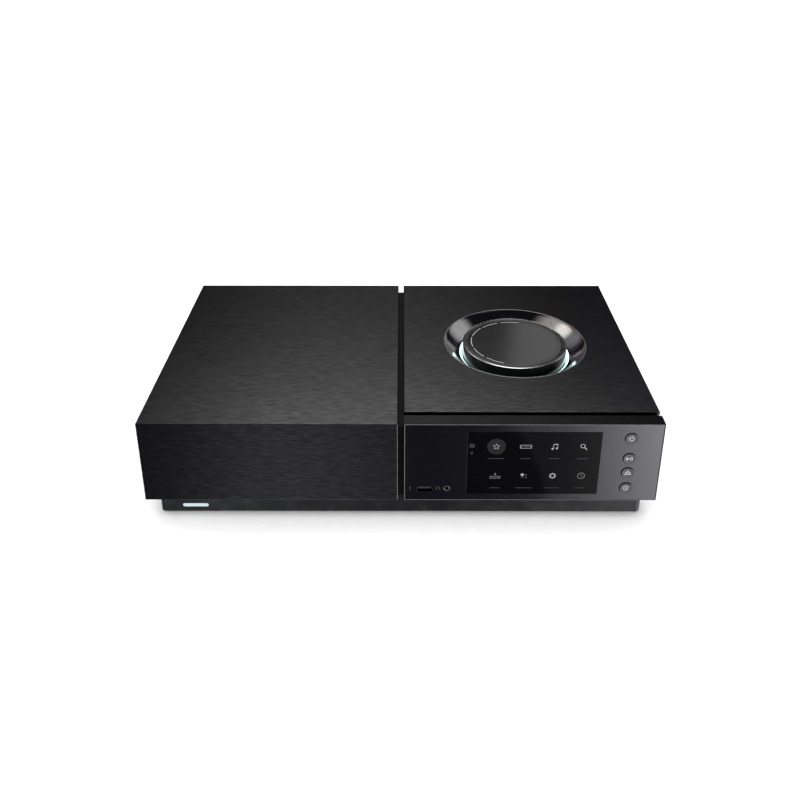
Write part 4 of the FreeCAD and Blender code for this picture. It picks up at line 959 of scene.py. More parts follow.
@dataclass(frozen=True)
class Dial:
    """Turning ring, the glass inside it and the lit marks of the level."""

    radius: float = 49.4
    lip: float = 48.1
    top: float = 94.0
    band: float = 93.5
    skirt: float = 78.0
    bore: float = 46.0
    glass_bore: float = 44.9
    shoulder: float = 89.95
    glass_radius: float = 44.6
    glass_under: float = 91.3
    mark_radius: float = 41.4
    mark_width: float = 0.46
    mark_count: int = 11
    mark_lit: int = 6
    mark_arc: float = 25.0
    mark_pitch: float = 29.4
    mark_first: float = -110.0
    mark_spans: int = 20
    mark_gauge: float = 0.02

    def ring_profile(self) -> list[Pair]:
        """Works out the ring's section.

        Returns:
            Closed profile: a lip that falls outward, a flat band and a stepped bore.
        """
        return rounded([
            (self.bore, self.skirt), (self.radius - 0.4, self.skirt), (self.radius, self.skirt + 0.4),
            (self.radius, self.top - 0.45, 0.3), (self.lip + 0.25, self.top, 0.3), (self.lip, self.band, 0.1),
            (self.glass_bore, self.band, 0.12), (self.glass_bore, self.shoulder), (self.bore, self.shoulder)])

    def glass_profile(self) -> list[Pair]:
        """Works out the glass's section: flat, with a fine ground edge and a thin groove just inside it.

        Returns:
            Closed profile.
        """
        edge, top, groove = self.glass_radius, self.band, self.band - 0.08
        return [(0.0, self.glass_under), (edge, self.glass_under), (edge, top - 0.3), (edge - 0.12, top - 0.1),
                (edge - 0.35, top), (edge - 1.0, top), (edge - 1.08, groove), (edge - 1.25, groove),
                (edge - 1.33, top), (0.0, top)]

    def build(self) -> None:
        """Builds the ring, the glass and the marks."""
        ring = Draft().turned(self.ring_profile(), *DISH_CENTRE, Axis.UP, FINE)
        ring.dress(1, lambda place: place.z < self.top - 1.0 and from_dish(place) > self.lip)
        ring.dress(2, lambda place: place.z > self.band + 0.02 and from_dish(place) > self.lip + 0.1)
        ring.piece("dial_turning_ring", (DIAL_BAND, DIAL_WALL, DIAL_LIP), "dial", "dial", ("dial_ring",))
        glass = Draft().turned(self.glass_profile(), *DISH_CENTRE, Axis.UP, FINE)
        glass.piece("dial_round_glass", (DIAL_GLASS,), "glass", stands_for=("dial_glass",))
        lit, dark = Draft(), Draft()
        for index in range(self.mark_count):
            end = self.mark_first - index * self.mark_pitch
            outline = arc(*DISH_CENTRE, self.mark_radius, self.mark_width, end - self.mark_arc, end, self.mark_spans)
            draft = lit if index < self.mark_lit else dark
            draft.prism(outline, self.band - self.mark_gauge, self.band + self.mark_gauge, Axis.UP)
        lit.piece("level_windows_lit", (LEVEL_LIT,), "light")
        dark.piece("level_windows_dark", (LEVEL_DARK,), "glass")


@dataclass(frozen=True)
class Hollow:
    """Shape between two outlines of as many points."""

    outer: list[Pair]
    inner: list[Pair]


def hoop(outer: float, inner: float, u: float = 0.0, v: float = 0.0) -> Hollow:
    """Ring between two circles."""
    return Hollow(circle(u, v, outer), circle(u, v, inner))


def star(tip: float, root: float) -> list[Pair]:
    """Five-pointed star by the radii of its tips and roots."""
    turns = [math.radians(90 + 36 * i) for i in range(10)]
    return [(r * math.cos(a), r * math.sin(a)) for r, a in zip((tip, root) * 5, turns)]


def border(v: float, width: float, height: float, line: float, radius: float = 0.5) -> Hollow:
    """Border of a rectangle with round corners, by its height in the symbol, its size and its line."""
    return Hollow(rounded_rectangle(0.0, v, width, height, radius),
                  rounded_rectangle(0.0, v, width - 2 * line, height - 2 * line, max(radius - line, 0.1)))


def bars(*placed: Pair, line: float = 0.42) -> tuple[list[Pair], ...]:
    """Row of short bars in place of a word, by their middles and lengths."""
    return tuple(bar(u - length / 2, 0.0, u + length / 2, 0.0, line) for u, length in placed)


class Symbol(Enum):
    """General symbols on the screen, the panel and the buttons, as shapes in millimetres."""

    STAR = (Hollow(star(3.2, 1.45), star(2.45, 1.08)),)
    TUNER = (border(0.0, 9.6, 3.4, 0.36), bar(-2.4, 0.0, 2.4, 0.0, 0.14), circle(-3.8, 0.0, 0.4), circle(3.8, 0.0, 0.4))
    NOTES = (circle(-1.9, -2.2, 0.95), circle(1.7, -1.7, 0.95), bar(-1.15, -2.1, -1.15, 2.2, 0.42),
             bar(2.45, -1.6, 2.45, 2.9, 0.42), [(-1.36, 1.7), (2.66, 2.3), (2.66, 3.1), (-1.36, 2.5)])
    SEARCH = (hoop(2.05, 1.5, -0.7, 0.7), bar(0.9, -0.9, 2.6, -2.7, 0.8))
    TRAY = (border(-1.6, 8.8, 2.4, 0.36), *(bar(-3.0 + 1.2 * i, -1.6, -2.6 + 1.2 * i, -1.6, 0.25) for i in range(6)),
            [(-0.75, 1.6), (0.0, 0.5), (0.75, 1.6), (0.0, 2.7)])
    ROOM = (rounded_rectangle(0.0, 0.0, 2.4, 2.4, 0.5),)
    ROOMS = tuple(rounded_rectangle(u, v, 1.3, 1.3, 0.3) for u, v in ((1.5, 1.1), (1.5, -1.6), (-1.4, -1.6)))
    GEAR = (hoop(2.35, 1.55), *(bar(2.3 * math.cos(a), 2.3 * math.sin(a), 2.7 * math.cos(a), 2.7 * math.sin(a), 0.6)
                                for a in [math.tau * i / 8 for i in range(8)]))
    CLOCK = (hoop(3.1, 2.65), bar(0.0, 0.0, 0.0, 1.7, 0.35), bar(0.0, 0.0, 1.2, -0.7, 0.35))
    POWER = (arc(0.0, 0.0, 1.9, 0.62, 125, 415), bar(0.0, 0.5, 0.0, 2.3, 0.62))
    PLAY = ([(-2.7, -1.7), (-0.1, 0.0), (-2.7, 1.7)], bar(0.95, -1.3, 0.95, 1.3, 0.7), bar(2.25, -1.3, 2.25, 1.3, 0.7))
    SOURCE = (arc(0.0, -0.8, 1.9, 0.7, 0, 180), bar(-2.6, -1.2, 2.6, -1.2, 0.8), bar(0.0, 0.6, 0.0, 2.4, 0.7))
    TARGET = (hoop(2.3, 1.75), circle(0.0, 0.0, 0.6))
    HEADPHONES = (arc(0.0, -0.2, 1.5, 0.4, 0, 180), rounded_rectangle(-1.4, -0.9, 0.8, 1.5, 0.3),
                  rounded_rectangle(1.4, -0.9, 0.8, 1.5, 0.3))
    LEAD = (bar(0.0, -1.7, 0.0, 0.4, 0.35), rounded_rectangle(0.0, 1.0, 0.9, 1.2, 0.2), circle(0.0, -1.7, 0.42))
    CAPTION = bars((-6.0, 1.4), (-4.2, 1.0), (-2.6, 1.2), (-0.9, 1.2), (0.9, 1.4), (2.6, 1.0), (4.4, 1.5), (6.2, 1.0))
    SHORT_CAPTION = bars((-3.2, 1.2), (-1.6, 1.0), (0.0, 1.2), (1.7, 1.1), (3.3, 1.2))
    WAVES = (circle(0.0, -1.4, 0.5), arc(0.0, -1.4, 1.5, 0.45, 50, 130), arc(0.0, -1.4, 2.6, 0.45, 50, 130))
    GRID = (border(0.0, 4.4, 3.8, 0.5), bar(-1.2, 0.5, 1.2, 0.5, 0.45), bar(-1.2, -0.6, 1.2, -0.6, 0.45))


@dataclass(frozen=True)
class Print:
    """Thin layer on a face that looks to the front, where symbols are drawn into one mesh."""

    draft: Draft
    face: float
    raised: float

    def draw(self, symbol: Symbol, x: float, z: float, scale: float = 1.0) -> None:
        """Adds a symbol.

        Args:
            symbol: What is drawn.
            x: Its middle across.
            z: Its middle up.
            scale: Its size as a share of the symbol's own.
        """
        depths = sorted((self.face, self.face + self.raised))
        for shape in symbol.value:
            outlines = (shape.outer, shape.inner) if isinstance(shape, Hollow) else (shape,)
            placed = [[(x + u * scale, z + v * scale) for u, v in outline] for outline in outlines]
            (self.draft.band if len(placed) > 1 else self.draft.prism)(*placed, *depths)


@dataclass(frozen=True)
class Display:
    """Symbols on the screen, and the two symbols beside the front sockets."""

    face: float = -132.3
    raised: float = -0.03
    columns: tuple[float, ...] = (79.0, 103.3, 127.0, 150.8)
    upper: float = 73.1
    lower: float = 44.0
    upper_caption: float = 61.3
    lower_caption: float = 31.6
    status_x: float = 58.9
    halo_radius: float = 7.7
    captions: tuple[tuple[Symbol, float], ...] = (
        (Symbol.CAPTION, 1.0), (Symbol.SHORT_CAPTION, 1.0), (Symbol.SHORT_CAPTION, 1.0), (Symbol.SHORT_CAPTION, 1.1),
        (Symbol.SHORT_CAPTION, 1.0), (Symbol.CAPTION, 1.0), (Symbol.CAPTION, 0.85), (Symbol.SHORT_CAPTION, 1.0))

    def symbols(self, name: str, finish: Finish, *placed: tuple[Symbol, float, float, float]) -> None:
        """Builds one piece out of symbols that share a brightness.

        Args:
            name: The piece's name.
            finish: How bright the symbols are.
            *placed: Each symbol with its place across, its height and its scale.
        """
        layer = Print(Draft(), self.face, self.raised)
        for each in placed:
            layer.draw(*each)
        layer.draft.piece(name, (finish,), "light")

    def build(self) -> None:
        """Builds the highlight, the eight symbols, their captions and the status symbols."""
        first, second, third, fourth = self.columns
        upper, lower = self.upper, self.lower
        halo = Draft().prism(circle(first, upper, self.halo_radius, MEDIUM), self.face + self.raised / 2, self.face)
        halo.piece("screen_highlight", (ICON_HALO,), "light")
        self.symbols("screen_symbols_bright", ICON_BRIGHT,
                     (Symbol.STAR, first, upper, 1.0), (Symbol.TUNER, second, upper, 1.0),
                     (Symbol.NOTES, third, upper, 0.95), (Symbol.SEARCH, fourth, upper, 1.0),
                     (Symbol.GEAR, third, lower, 1.0), (Symbol.ROOM, second - 1.6, lower + 1.0, 1.0))
        self.symbols("screen_symbols_middle", ICON_MIDDLE,
                     (Symbol.TRAY, first, lower, 1.0), (Symbol.CLOCK, fourth, lower, 1.0))
        self.symbols("screen_symbols_dim", ICON_DIM,
                     (Symbol.ROOMS, second, lower, 1.0), (Symbol.GRID, self.status_x, upper + 0.9, 0.9),
                     (Symbol.WAVES, self.status_x, upper - 6.4, 0.8))
        places = [(x, z) for z in (self.upper_caption, self.lower_caption) for x in self.columns]
        self.symbols("screen_captions", ICON_DIM,
                     *((symbol, x, z, scale) for (symbol, scale), (x, z) in zip(self.captions, places)))
        self.symbols("panel_symbols", ICON_DIM, (Symbol.LEAD, 8.1, 31.3, 1.0), (Symbol.HEADPHONES, 31.4, 31.5, 1.0))


@dataclass(frozen=True)
class Buttons:
    """Four round push buttons, each with its symbol."""

    x: float = 189.2811
    front: float = -133.26
    radius: float = 5.5
    flange_face: float = -130.2
    flange_back: float = -129.2
    flange_side: float = 13.0
    stem_back: float = -127.8
    stem_side: float = 3.6
    edge: float = 0.15
    sign_lift: float = 0.3
    sign_back: float = 0.16
    sign_depth: float = 0.2
    rows: tuple[tuple[str, float, Symbol], ...] = (
        ("power_button", 81.2, Symbol.POWER), ("play_button", 61.5, Symbol.PLAY),
        ("input_button", 47.3, Symbol.SOURCE), ("preset_button", 31.9, Symbol.TARGET))

    def build(self) -> None:
        """Builds each button on its own body."""
        front, flange, half, stem = self.front, self.flange_face, self.flange_side / 2, self.stem_side / 2
        cap = rounded([(0.0, front + 0.12), (self.radius - 1.3, front + 0.05, 0.5), (self.radius - 0.5, front, 0.35),
                       (self.radius, front + 1.0, 0.3), (self.radius, flange), (0.0, flange)], 5)
        for name, z, symbol in self.rows:
            draft = Draft().turned(cap, self.x, z)
            for side, low, high in ((half, flange, self.flange_back), (stem, self.flange_back, self.stem_back)):
                draft.box((self.x - side, low, z - side), (self.x + side, high, z + side), self.edge)
            draft.piece(f"{name}_cap", (BUTTON,), "button", name, (name,))
            sign = Print(Draft(), front + self.sign_back, -self.sign_depth)
            sign.draw(symbol, self.x, z + self.sign_lift)
            sign.draft.piece(f"{name}_symbol", (BUTTON_LIT,), "light", name)


@dataclass(frozen=True)
class FrontSockets:
    """Headphone socket and front data socket in full detail."""

    face: float = -132.3
    panel_back: float = -130.3
    jack: Pair = (38.882, 30.9)
    jack_ring: float = 2.8
    jack_bore: float = 1.8
    jack_body: float = 3.5
    jack_end: float = -118.3
    jack_back: float = -116.8
    jack_side: float = 7.2
    data: Pair = (20.368, 30.35)
    mouth: Pair = (12.5, 5.1)
    shell: float = 0.4
    depth: float = 13.0
    gauge: float = 1.0
    ear_face: float = -128.8
    ear_reach: float = 3.0
    ear_half: float = 2.95
    tongue_face: float = -130.7
    tongue_half: float = 5.55
    tongue_drop: float = 1.5
    tongue_gauge: float = 1.9
    contact_count: int = 4
    contact_face: float = -130.1
    contact_first: float = -3.5
    contact_pitch: float = 2.33
    contact_half: float = 0.5
    contact_proud: float = 0.12
    contact_sunk: float = 0.02

    def headphone_socket(self) -> None:
        """Builds the ring with its bore, and the body behind it."""
        x, z = self.jack
        face, end, back, bore = self.face, self.jack_end, self.jack_back, self.jack_bore
        ring = rounded([(bore, end), (bore, face, 0.3), (self.jack_ring, face, 0.25), (self.jack_ring, self.panel_back),
                        (self.jack_body, self.panel_back), (self.jack_body, back), (0.0, back), (0.0, end)])
        draft = Draft().turned(ring, x, z)
        draft.dress(1, lambda place: (place.xz - Vector(self.jack)).length < bore + 0.05)
        draft.piece("headphone_socket_ring", (RING_NICKEL, PLASTIC), "zinc", stands_for=("headphone_socket",))
        outer = rounded_rectangle(x, z, self.jack_side, self.jack_side, 0.4)
        inner = [(x + self.jack_body * math.cos(a), z + self.jack_body * math.sin(a))
                 for a in [math.atan2(v - z, u - x) for u, v in outer]]
        body = Draft().band(outer, inner, self.panel_back, back)
        body.piece("headphone_socket_body", (PLASTIC,), "plastic")

    def data_socket(self) -> None:
        """Builds the shell with its ears, the tongue and its contacts."""
        x, z = self.data
        width, height = self.mouth
        half, back = width / 2, self.face + self.depth
        wall = back - self.gauge
        outer = rounded_rectangle(x, z, width + 2 * self.shell, height + 2 * self.shell, 0.5)
        draft = Draft().band(outer, rounded_rectangle(x, z, width, height, 0.2), self.face, back)
        draft.box((x - half, wall, z - height / 2), (x + half, back, z + height / 2))
        for side in (-1, 1):
            low, high = sorted((x + side * (half + self.shell), x + side * (half + self.ear_reach)))
            draft.box((low, self.ear_face, z - self.ear_half), (high, self.ear_face + self.gauge, z + self.ear_half),
                      0.2)
        draft.piece("data_socket_shell", (DARK_NICKEL,), "zinc", stands_for=("front_usb_socket",))
        top = z + height / 2 - self.tongue_drop
        under = top - self.tongue_gauge
        tongue = Draft().box((x - self.tongue_half, self.tongue_face, under), (x + self.tongue_half, wall, top), 0.15)
        tongue.piece("data_socket_tongue", (PLASTIC,), "plastic")
        contacts = Draft()
        for i in range(self.contact_count):
            middle = x + self.contact_first + self.contact_pitch * i
            contacts.box((middle - self.contact_half, self.contact_face, under - self.contact_proud),
                         (middle + self.contact_half, wall, under + self.contact_sunk))
        contacts.piece("data_socket_contacts", (GOLD,), "gold")

    def build(self) -> None:
        """Builds both sockets."""
        self.headphone_socket()
        self.data_socket()


@dataclass(frozen=True)
class RearPanel:
    """Turned sockets, screws, contacts and blades on the rear panel."""

    face: float = 124.0
    inner_face: float = 122.0
    speakers: tuple[tuple[float, float, int], ...] = (
        (-84.0, 38.0, 1), (-84.0, 66.0, 0), (-64.95, 38.0, 1), (-64.95, 66.0, 0))
    speaker_proud: float = 4.0
    phonos: tuple[tuple[float, float, int], ...] = (
        (-34.0, 42.0, 0), (-34.0, 62.0, 1), (-16.0, 42.0, 0), (-16.0, 62.0, 1), (146.0, 42.0, 2))
    phono_proud: float = 8.3
    aerials: tuple[tuple[float, float, float, float, float, float], ...] = (
        (-176.0, 74.0, 3.15, 7.5, 4.6, 1.8), (176.0, 74.0, 3.15, 7.5, 4.6, 1.8), (112.0, 60.0, 4.7, 8.0, 7.0, 2.0))
    thread_pitch: float = 0.7
    screw_x: float = 200.0
    screw_rows: tuple[float, ...] = (24.5, 55.1, 85.7)
    contact_count: int = 8
    contact_middle: float = 58.0
    contact_pitch: float = 1.02
    contact_half: float = 0.2
    contact_ends: Pair = (114.2, 122.0)
    contact_top: float = 47.15
    contact_gauge: float = 0.25
    hook_gauge: float = 0.4
    hook_height: float = 0.75
    blades: tuple[Pair, ...] = ((-172.0, 44.0), (-158.0, 44.0), (-165.0, 48.0))
    blade_ends: Pair = (112.3, 123.1)
    blade_halves: Pair = (1.05, 2.05)
    blade_round: float = 0.3

    def speaker_sockets(self) -> None:
        """Builds the four collars with coloured bands, and their gold sleeves."""
        metal, bands = Draft(), Draft()
        face, mouth = self.face, self.face + self.speaker_proud
        sleeve = rounded([(2.0, mouth - 20.0), (2.0, mouth, 0.35), (3.4, mouth, 0.25), (3.4, face + 0.6),
                          (5.8, face + 0.6), (5.8, face), (4.2, face), (4.2, mouth - 22.0), (0.0, mouth - 22.0),
                          (0.0, mouth - 20.0)])
        collar = rounded([(3.42, face + 0.6), (3.42, mouth - 0.25, 0.3), (5.7, mouth - 0.35, 0.6),
                          (5.7, face + 2.6, 0.1), (5.4, face + 2.4, 0.1), (5.4, face + 2.0, 0.1),
                          (5.7, face + 1.8, 0.1), (5.7, face + 0.6)])
        for x, z, skin in self.speakers:
            metal.turned(sleeve, x, z)
            bands.turned(collar, x, z, skin=skin)
        metal.piece("speaker_socket_sleeves", (GOLD,), "gold", stands_for=("speaker_sockets",))
        bands.piece("speaker_socket_collars", (RED_RING, PLASTIC), "plastic")

    def phono_sockets(self) -> None:
        """Builds the five sleeves on their nuts, and the coloured cores."""
        metal, colour = Draft(), Draft()
        face, mouth = self.face, self.face + self.phono_proud
        sleeve = rounded([(3.3, face + 1.2), (3.3, mouth, 0.15), (4.15, mouth, 0.3), (4.15, face + 5.2, 0.1),
                          (3.95, face + 5.0, 0.1), (3.95, face + 4.6, 0.1), (4.15, face + 4.4, 0.1),
                          (4.15, face + 1.2)])
        core = rounded([(1.65, mouth - 8.0), (1.65, mouth - 0.25, 0.2), (3.28, mouth - 0.25, 0.2),
                        (3.28, face + 0.2), (0.0, face + 0.2), (0.0, mouth - 8.0)])
        for x, z, skin in self.phonos:
            metal.prism(circle(x, z, 6.0, HEXAGON), face, face + 1.2, bevel=0.15)
            metal.turned(sleeve, x, z)
            metal.prism(circle(x, z, 3.6, HEXAGON), self.inner_face - 9.0, face, bevel=0.15)
            colour.turned(core, x, z, skin=skin)
        metal.piece("phono_socket_sleeves", (GOLD,), "gold", stands_for=("phono_sockets",))
        colour.piece("phono_socket_cores", (WHITE_RING, RED_RING, ORANGE_RING), "plastic")

    def aerial_sockets(self) -> None:
        """Builds the threaded aerial sockets with their nuts, insulators and pins."""
        metal, cores = Draft(), Draft()
        face = self.face
        for x, z, radius, proud, nut, gauge in self.aerials:
            mouth = face + proud
            metal.prism(circle(x, z, nut, HEXAGON), face, face + gauge, bevel=0.2)
            metal.prism(circle(x, z, radius, HEXAGON), self.inner_face - 8.0, face, bevel=0.15)
            thread: list[Corner] = [(2.1, mouth - 5.0), (2.1, mouth, 0.1), (radius, mouth, 0.3)]
            for k in range(int((proud - gauge - 0.8) / self.thread_pitch)):
                low = mouth - 0.6 - self.thread_pitch * k
                thread += [(radius, low), (radius - 0.3, low - 0.25), (radius - 0.3, low - 0.35), (radius, low - 0.6)]
            thread += [(radius, face + gauge), (0.0, face + gauge), (0.0, mouth - 5.0)]
            metal.turned(rounded(thread, 3), x, z)
            core = rounded([(0.0, mouth - 5.0), (2.08, mouth - 5.0), (2.08, mouth - 0.9, 0.1),
                            (0.55, mouth - 0.9, 0.1), (0.55, mouth - 3.0), (0.0, mouth - 3.0)])
            cores.turned(core, x, z, count=SMALL)
        metal.piece("aerial_socket_threads", (GOLD,), "gold", stands_for=("aerial_sockets",))
        cores.piece("aerial_socket_cores", (WHITE_RING,), "plastic")

    def screws(self) -> None:
        """Builds the domed screws with their cross recesses."""
        draft = Draft()
        face, end = self.face, self.inner_face - 6.0
        head = rounded([(0.0, face + 1.55), (1.6, face + 1.45, 0.8), (2.7, face + 0.75, 0.5), (2.8, face),
                        (1.5, face), (1.5, end), (0.0, end)])
        recess = ((1.5, -0.24), (1.5, 0.24), (-1.5, 0.24), (-1.5, -0.24))
        for x, z in [(side * self.screw_x, z) for side in (-1, 1) for z in self.screw_rows]:
            draft.turned(head, x, z, count=SMALL)
            for turn in (math.radians(45.0), math.radians(135.0)):
                c, s = math.cos(turn), math.sin(turn)
                outline = [(x + u * c - v * s, z + u * s + v * c) for u, v in recess]
                draft.prism(outline, face + 0.9, face + 1.58, skin=1)
        draft.piece("rear_panel_screws", (ZINC, PLASTIC), "zinc", stands_for=("rear_screws",))

    def contacts(self) -> None:
        """Builds the eight contacts in the network socket and the three blades in the mains inlet."""
        draft = Draft()
        front, back = self.contact_ends
        top, half = self.contact_top, self.contact_half
        for i in range(self.contact_count):
            x = self.contact_middle + self.contact_pitch * (i - (self.contact_count - 1) / 2)
            draft.box((x - half, front, top - self.contact_gauge), (x + half, back, top))
            draft.box((x - half, front, top - self.hook_height), (x + half, front + self.hook_gauge, top))
        draft.piece("network_socket_contacts", (GOLD,), "gold")
        pins = Draft()
        (low, high), (across, up) = self.blade_ends, self.blade_halves
        for x, z in self.blades:
            pins.box((x - across, low, z - up), (x + across, high, z + up), self.blade_round)
        pins.piece("mains_inlet_blades", (ZINC,), "zinc")

    def build(self) -> None:
        """Builds everything on the rear panel."""
        for part in (self.speaker_sockets, self.phono_sockets, self.aerial_sockets, self.screws, self.contacts):
            part()


@dataclass(frozen=True)
class Softbox:
    """Round soft light far away: full within one angle of its middle, faded out at another, in degrees."""

    towards: Triple
    full: float
    ends: float
    strength: float
    colour: Triple = WHITE
    flagged: bool = False


@dataclass(frozen=True)
class Lamp:
    """Soft panel of light that falls only on the pieces it names."""

    name: str
    place: Triple
    aim: Triple
    width: float
    height: float
    power: float
    colour: Triple
    pieces: tuple[str, ...]

    def hang(self) -> None:
        """Hangs the light and limits it to its pieces."""
        light = bpy.data.lights.new(self.name, "AREA")
        light.shape = "RECTANGLE"
        light.size, light.size_y = self.width * MM, self.height * MM
        light.energy = self.power
        light.color = self.colour
        lamp = add_object(self.name, light)
        lamp.location = [c * MM for c in self.place]
        lamp.rotation_euler = (Vector(self.place) - Vector(self.aim)).to_track_quat("Z", "Y").to_euler()
        lamp.visible_camera = False
        lit = bpy.data.collections.new(f"lit_by_{self.name}")
        for piece in self.pieces:
            lit.objects.link(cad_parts.get(piece) or bpy.data.objects[piece])
        lamp.light_linking.receiver_collection = lit


class Sky(Tree):
    """Node tree of the world: round soft lights, and a plain backdrop that only the camera sees."""

    def __init__(self) -> None:
        """Starts the scene's world."""
        world = bpy.data.worlds.new("studio")
        bpy.context.scene.world = world
        super().__init__(world)
        self.where = self.node("ShaderNodeTexCoord").outputs["Generated"]

    def spot(self, towards: Triple, full: float, ends: float) -> Socket:
        """Round spot in the sky that fades between two angles.

        Args:
            towards: Direction of its middle.
            full: Angle, in degrees, up to which it is full.
            ends: Angle at which it ends.

        Returns:
            1 inside the spot and 0 outside it.
        """
        dot = self.vectors("DOT_PRODUCT", {0: self.where, 1: Vector(towards).normalized()}, "Value")
        fade = self.node("ShaderNodeMapRange", {
            "Value": dot, "From Min": math.cos(math.radians(ends)), "From Max": math.cos(math.radians(full))},
            interpolation_type="SMOOTHSTEP")
        return fade.outputs["Result"]

    def scaled(self, light: Sequence[float] | Socket, share: Socket) -> Socket:
        """Light scaled by a share."""
        return self.vectors("SCALE", {0: light, "Scale": share})

    def total(self, lights: Iterable[Socket], start: Triple) -> Socket:
        """Adds lights to a starting value.

        Args:
            lights: The lights.
            start: Colour to which they are added.

        Returns:
            The sum.
        """
        result: Socket | Triple = start
        for light in lights:
            result = self.vectors("ADD", {0: light, 1: result})
        return result

    def lights(self, boxes: Iterable[Softbox]) -> list[Socket]:
        """Lights of soft boxes."""
        return [self.scaled([c * box.strength for c in box.colour], self.spot(box.towards, box.full, box.ends))
                for box in boxes]

    def finish(self, light: Socket, backdrop: float) -> None:
        """Gives the light to the scene and the backdrop to the camera.

        Args:
            light: Colour of the sky's light.
            backdrop: Grey of the backdrop.
        """
        lit = self.node("ShaderNodeBackground", {"Color": light})
        plain = self.node("ShaderNodeBackground", {"Color": grey(backdrop)})
        mix = self.node("ShaderNodeMixShader", {
            "Fac": self.node("ShaderNodeLightPath").outputs["Is Camera Ray"],
            1: lit.outputs["Background"], 2: plain.outputs["Background"]})
        self.node("ShaderNodeOutputWorld", {"Surface": mix.outputs["Shader"]})


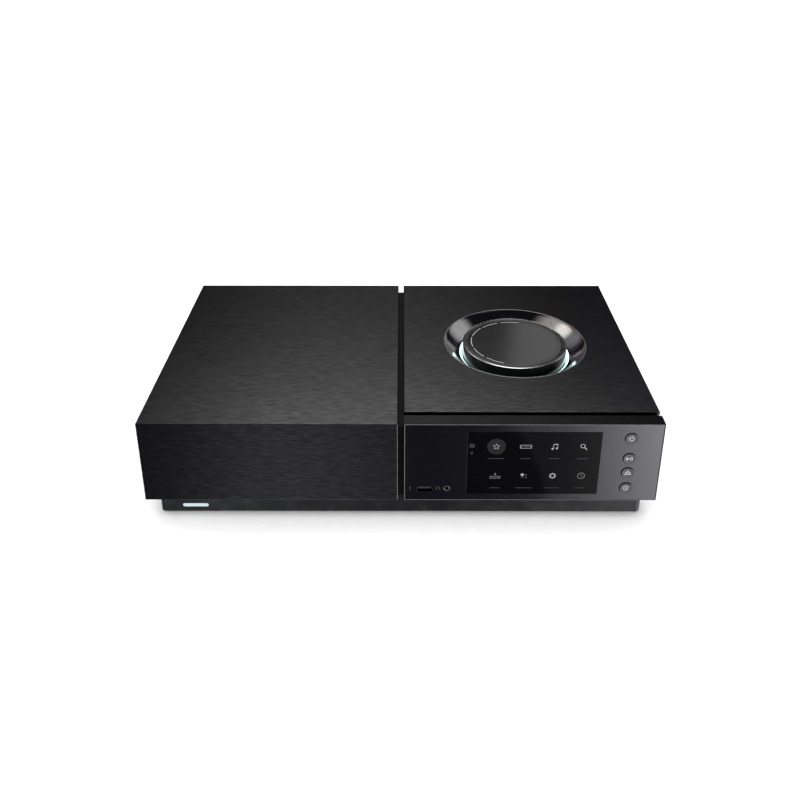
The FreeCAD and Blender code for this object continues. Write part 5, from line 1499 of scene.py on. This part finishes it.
@dataclass(frozen=True)
class Studio:
    """Plain pale floor, soft lights and the camera."""

    place: Triple = (0.8, -725.7, 498.4)
    pitch: float = 23.20
    yaw: float = 0.114
    focal: float = 866.9
    frame_side: float = 800.0
    centre_row: float = 255.5
    sensor: float = 36.0
    clip_end: float = 200.0
    sun_strength: float = 4.9
    sun_angle: float = 100.0
    floor_side: float = 60.0
    ambient: Triple = (0.008, 0.008, 0.010)
    backdrop: float = 1.0
    flag_towards: Triple = (0.0065, -0.767, -0.6416)
    flag_radius: float = 8.85
    flag_shade: float = 0.15
    flag_fade: float = 0.15
    horizon: Pair = (84.0, 93.0)
    boxes: tuple[Softbox, ...] = tuple(Softbox(*row) for row in (
        ((-0.053, 0.764, 0.643), 0.0, 10.0, 0.75),
        ((-0.053, 0.764, 0.643), 4.0, 16.0, 0.27),
        ((-0.185, 0.743, 0.643), 0.0, 10.0, 0.54),
        ((0.080, 0.762, 0.643), 0.0, 10.0, 0.51),
        ((0.211, 0.736, 0.643), 0.0, 10.0, 0.51),
        ((-0.412, 0.527, 0.743), 0.0, 10.0, 0.67),
        ((-0.047, 0.668, 0.743), 8.0, 22.0, 0.30),
        ((0.02, 0.42, 0.91), 9.0, 18.0, 2.9),
        ((-0.04, 0.93, 0.36), 0.0, 14.0, 0.06),
        ((-0.50, 0.75, 0.42), 0.0, 20.0, 0.07, (0.75, 0.7, 1.0)),
        ((0.48, 0.76, 0.42), 0.0, 20.0, 0.07, (0.6, 0.55, 1.0)),
        ((-0.125, -0.79, -0.605), 0.0, 8.0, 0.36),
        ((0.15, -0.05, 0.985), 0.0, 11.0, 1.5),
        ((0.71, -0.596, -0.375), 4.0, 36.0, 5.2, WHITE, True),
        ((0.492, -0.413, -0.766), 0.0, 14.0, 2.5, WHITE, True),
        ((0.04, -0.400, -0.915), 2.0, 24.0, 2.2, WHITE, True),
        ((0.38, -0.714, -0.588), 0.0, 14.0, 0.6, WHITE, True),
        ((0.25, -0.769, -0.588), 0.0, 14.0, 0.5, WHITE, True),
        ((0.0, -0.78, -0.62), 4.0, 30.0, 0.07, (0.85, 0.85, 1.2)),
        ((-0.69, 0.34, 0.64), 2.0, 15.0, 1.0, (1.0, 0.97, 0.94)),
        ((-0.66, 0.13, 0.74), 0.0, 30.0, 0.55, (1.0, 0.97, 0.93)),
        ((0.79, 0.40, 0.47), 3.0, 25.0, 0.62, (0.97, 0.98, 1.0)),
        ((0.49, 0.868, -0.066), 3.0, 10.0, 0.12),
        ((-0.66, 0.62, 0.42), 0.0, 20.0, 0.22),
        ((-0.67, -0.66, -0.34), 0.0, 24.0, 0.6),
        ((0.66, 0.66, -0.34), 0.0, 24.0, 1.1),
        ((0.998, 0.0, -0.05), 0.0, 32.0, 0.8),
        ((-0.998, 0.0, 0.05), 0.0, 30.0, 0.4),
        ((0.683, -0.683, 0.2588), 0.0, 30.0, 0.8),
        ((0.0, -0.998, -0.05), 0.0, 26.0, 0.5),
        ((0.0, 0.998, 0.02), 0.0, 14.0, 0.3),
    ))
    lamps: tuple[Lamp, ...] = (
        Lamp("glass_light", (496.6, 1358.6, 857.0), (109.0, 7.0, 93.5), 393.0, 900.0, 0.9, WHITE,
             ("dial_round_glass",)),
        Lamp("plinth_light", (-185.0, -260.0, 14.0), (-175.0, -125.0, 7.0), 60.0, 20.0, 0.4, (0.9, 0.98, 1.0),
             ("base_plinth",)),
    )

    def world(self) -> None:
        """Sets the soft lights in the world's sky; the flagged ones stay below the horizon and behind the flag."""
        sky = Sky()
        near = sky.spot(self.flag_towards, self.flag_radius - self.flag_fade, self.flag_radius + self.flag_fade)
        shade = sky.node("ShaderNodeMapRange", {"Value": near, "To Min": 1.0, "To Max": self.flag_shade})
        flagged = sky.total(sky.lights(box for box in self.boxes if box.flagged), grey(0.0))
        below = sky.scaled(flagged, sky.spot((0.0, 0.0, -1.0), *self.horizon))
        behind = sky.scaled(below, shade.outputs["Result"])
        free = sky.lights(box for box in self.boxes if not box.flagged)
        sky.finish(sky.total([*free, behind], self.ambient), self.backdrop)

    def overhead(self) -> None:
        """Hangs the wide overhead light that whitens the floor."""
        light = bpy.data.lights.new("overhead", "SUN")
        light.energy = self.sun_strength
        light.angle = math.radians(self.sun_angle)
        add_object("overhead", light).visible_glossy = False

    def floor(self) -> None:
        """Lays the floor, which takes shadows but isn't seen in the gloss of the case."""
        half = self.floor_side / 2
        data = bpy.data.meshes.new("floor")
        data.from_pydata([(-half, -half, 0), (half, -half, 0), (half, half, 0), (-half, half, 0)], [], [(0, 1, 2, 3)])
        data.materials.append(FLOOR.material())
        made = add_object("floor", data)
        made.visible_glossy = False
        made.visible_shadow = False
        made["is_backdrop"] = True

    def camera(self) -> None:
        """Places the camera as the photograph has it."""
        data = bpy.data.cameras.new("camera")
        data.sensor_width = self.sensor
        data.lens = self.focal / self.frame_side * self.sensor
        data.shift_y = (self.centre_row - self.frame_side / 2) / self.frame_side
        data.clip_end = self.clip_end
        made = add_object("camera", data)
        made.location = [c * MM for c in self.place]
        made.rotation_euler = (math.radians(90.0 - self.pitch), 0.0, math.radians(self.yaw))
        bpy.context.scene.camera = made

    def build(self) -> None:
        """Sets up the colours, the lights, the floor and the camera."""
        settings = bpy.context.scene.view_settings
        settings.view_transform = "Standard"
        settings.look = "None"
        self.world()
        self.overhead()
        for lamp in self.lamps:
            lamp.hang()
        self.floor()
        self.camera()


def corners() -> list[list[float]]:
    """The whole object's lowest and highest corners as plain numbers."""
    return [[round(float(c), 6) for c in corner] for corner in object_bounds()]


def main() -> None:
    """Builds the sub-assemblies in order."""
    logging.basicConfig(level=logging.INFO, format="%(name)s: %(message)s")
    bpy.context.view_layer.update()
    for assembly in (Case(), Bowl(), Dial(), Display(), Buttons(), FrontSockets(), RearPanel(), Studio()):
        assembly.build()
        log.info("built %s", type(assembly).__name__)


if __name__ == "__main__":
    main()
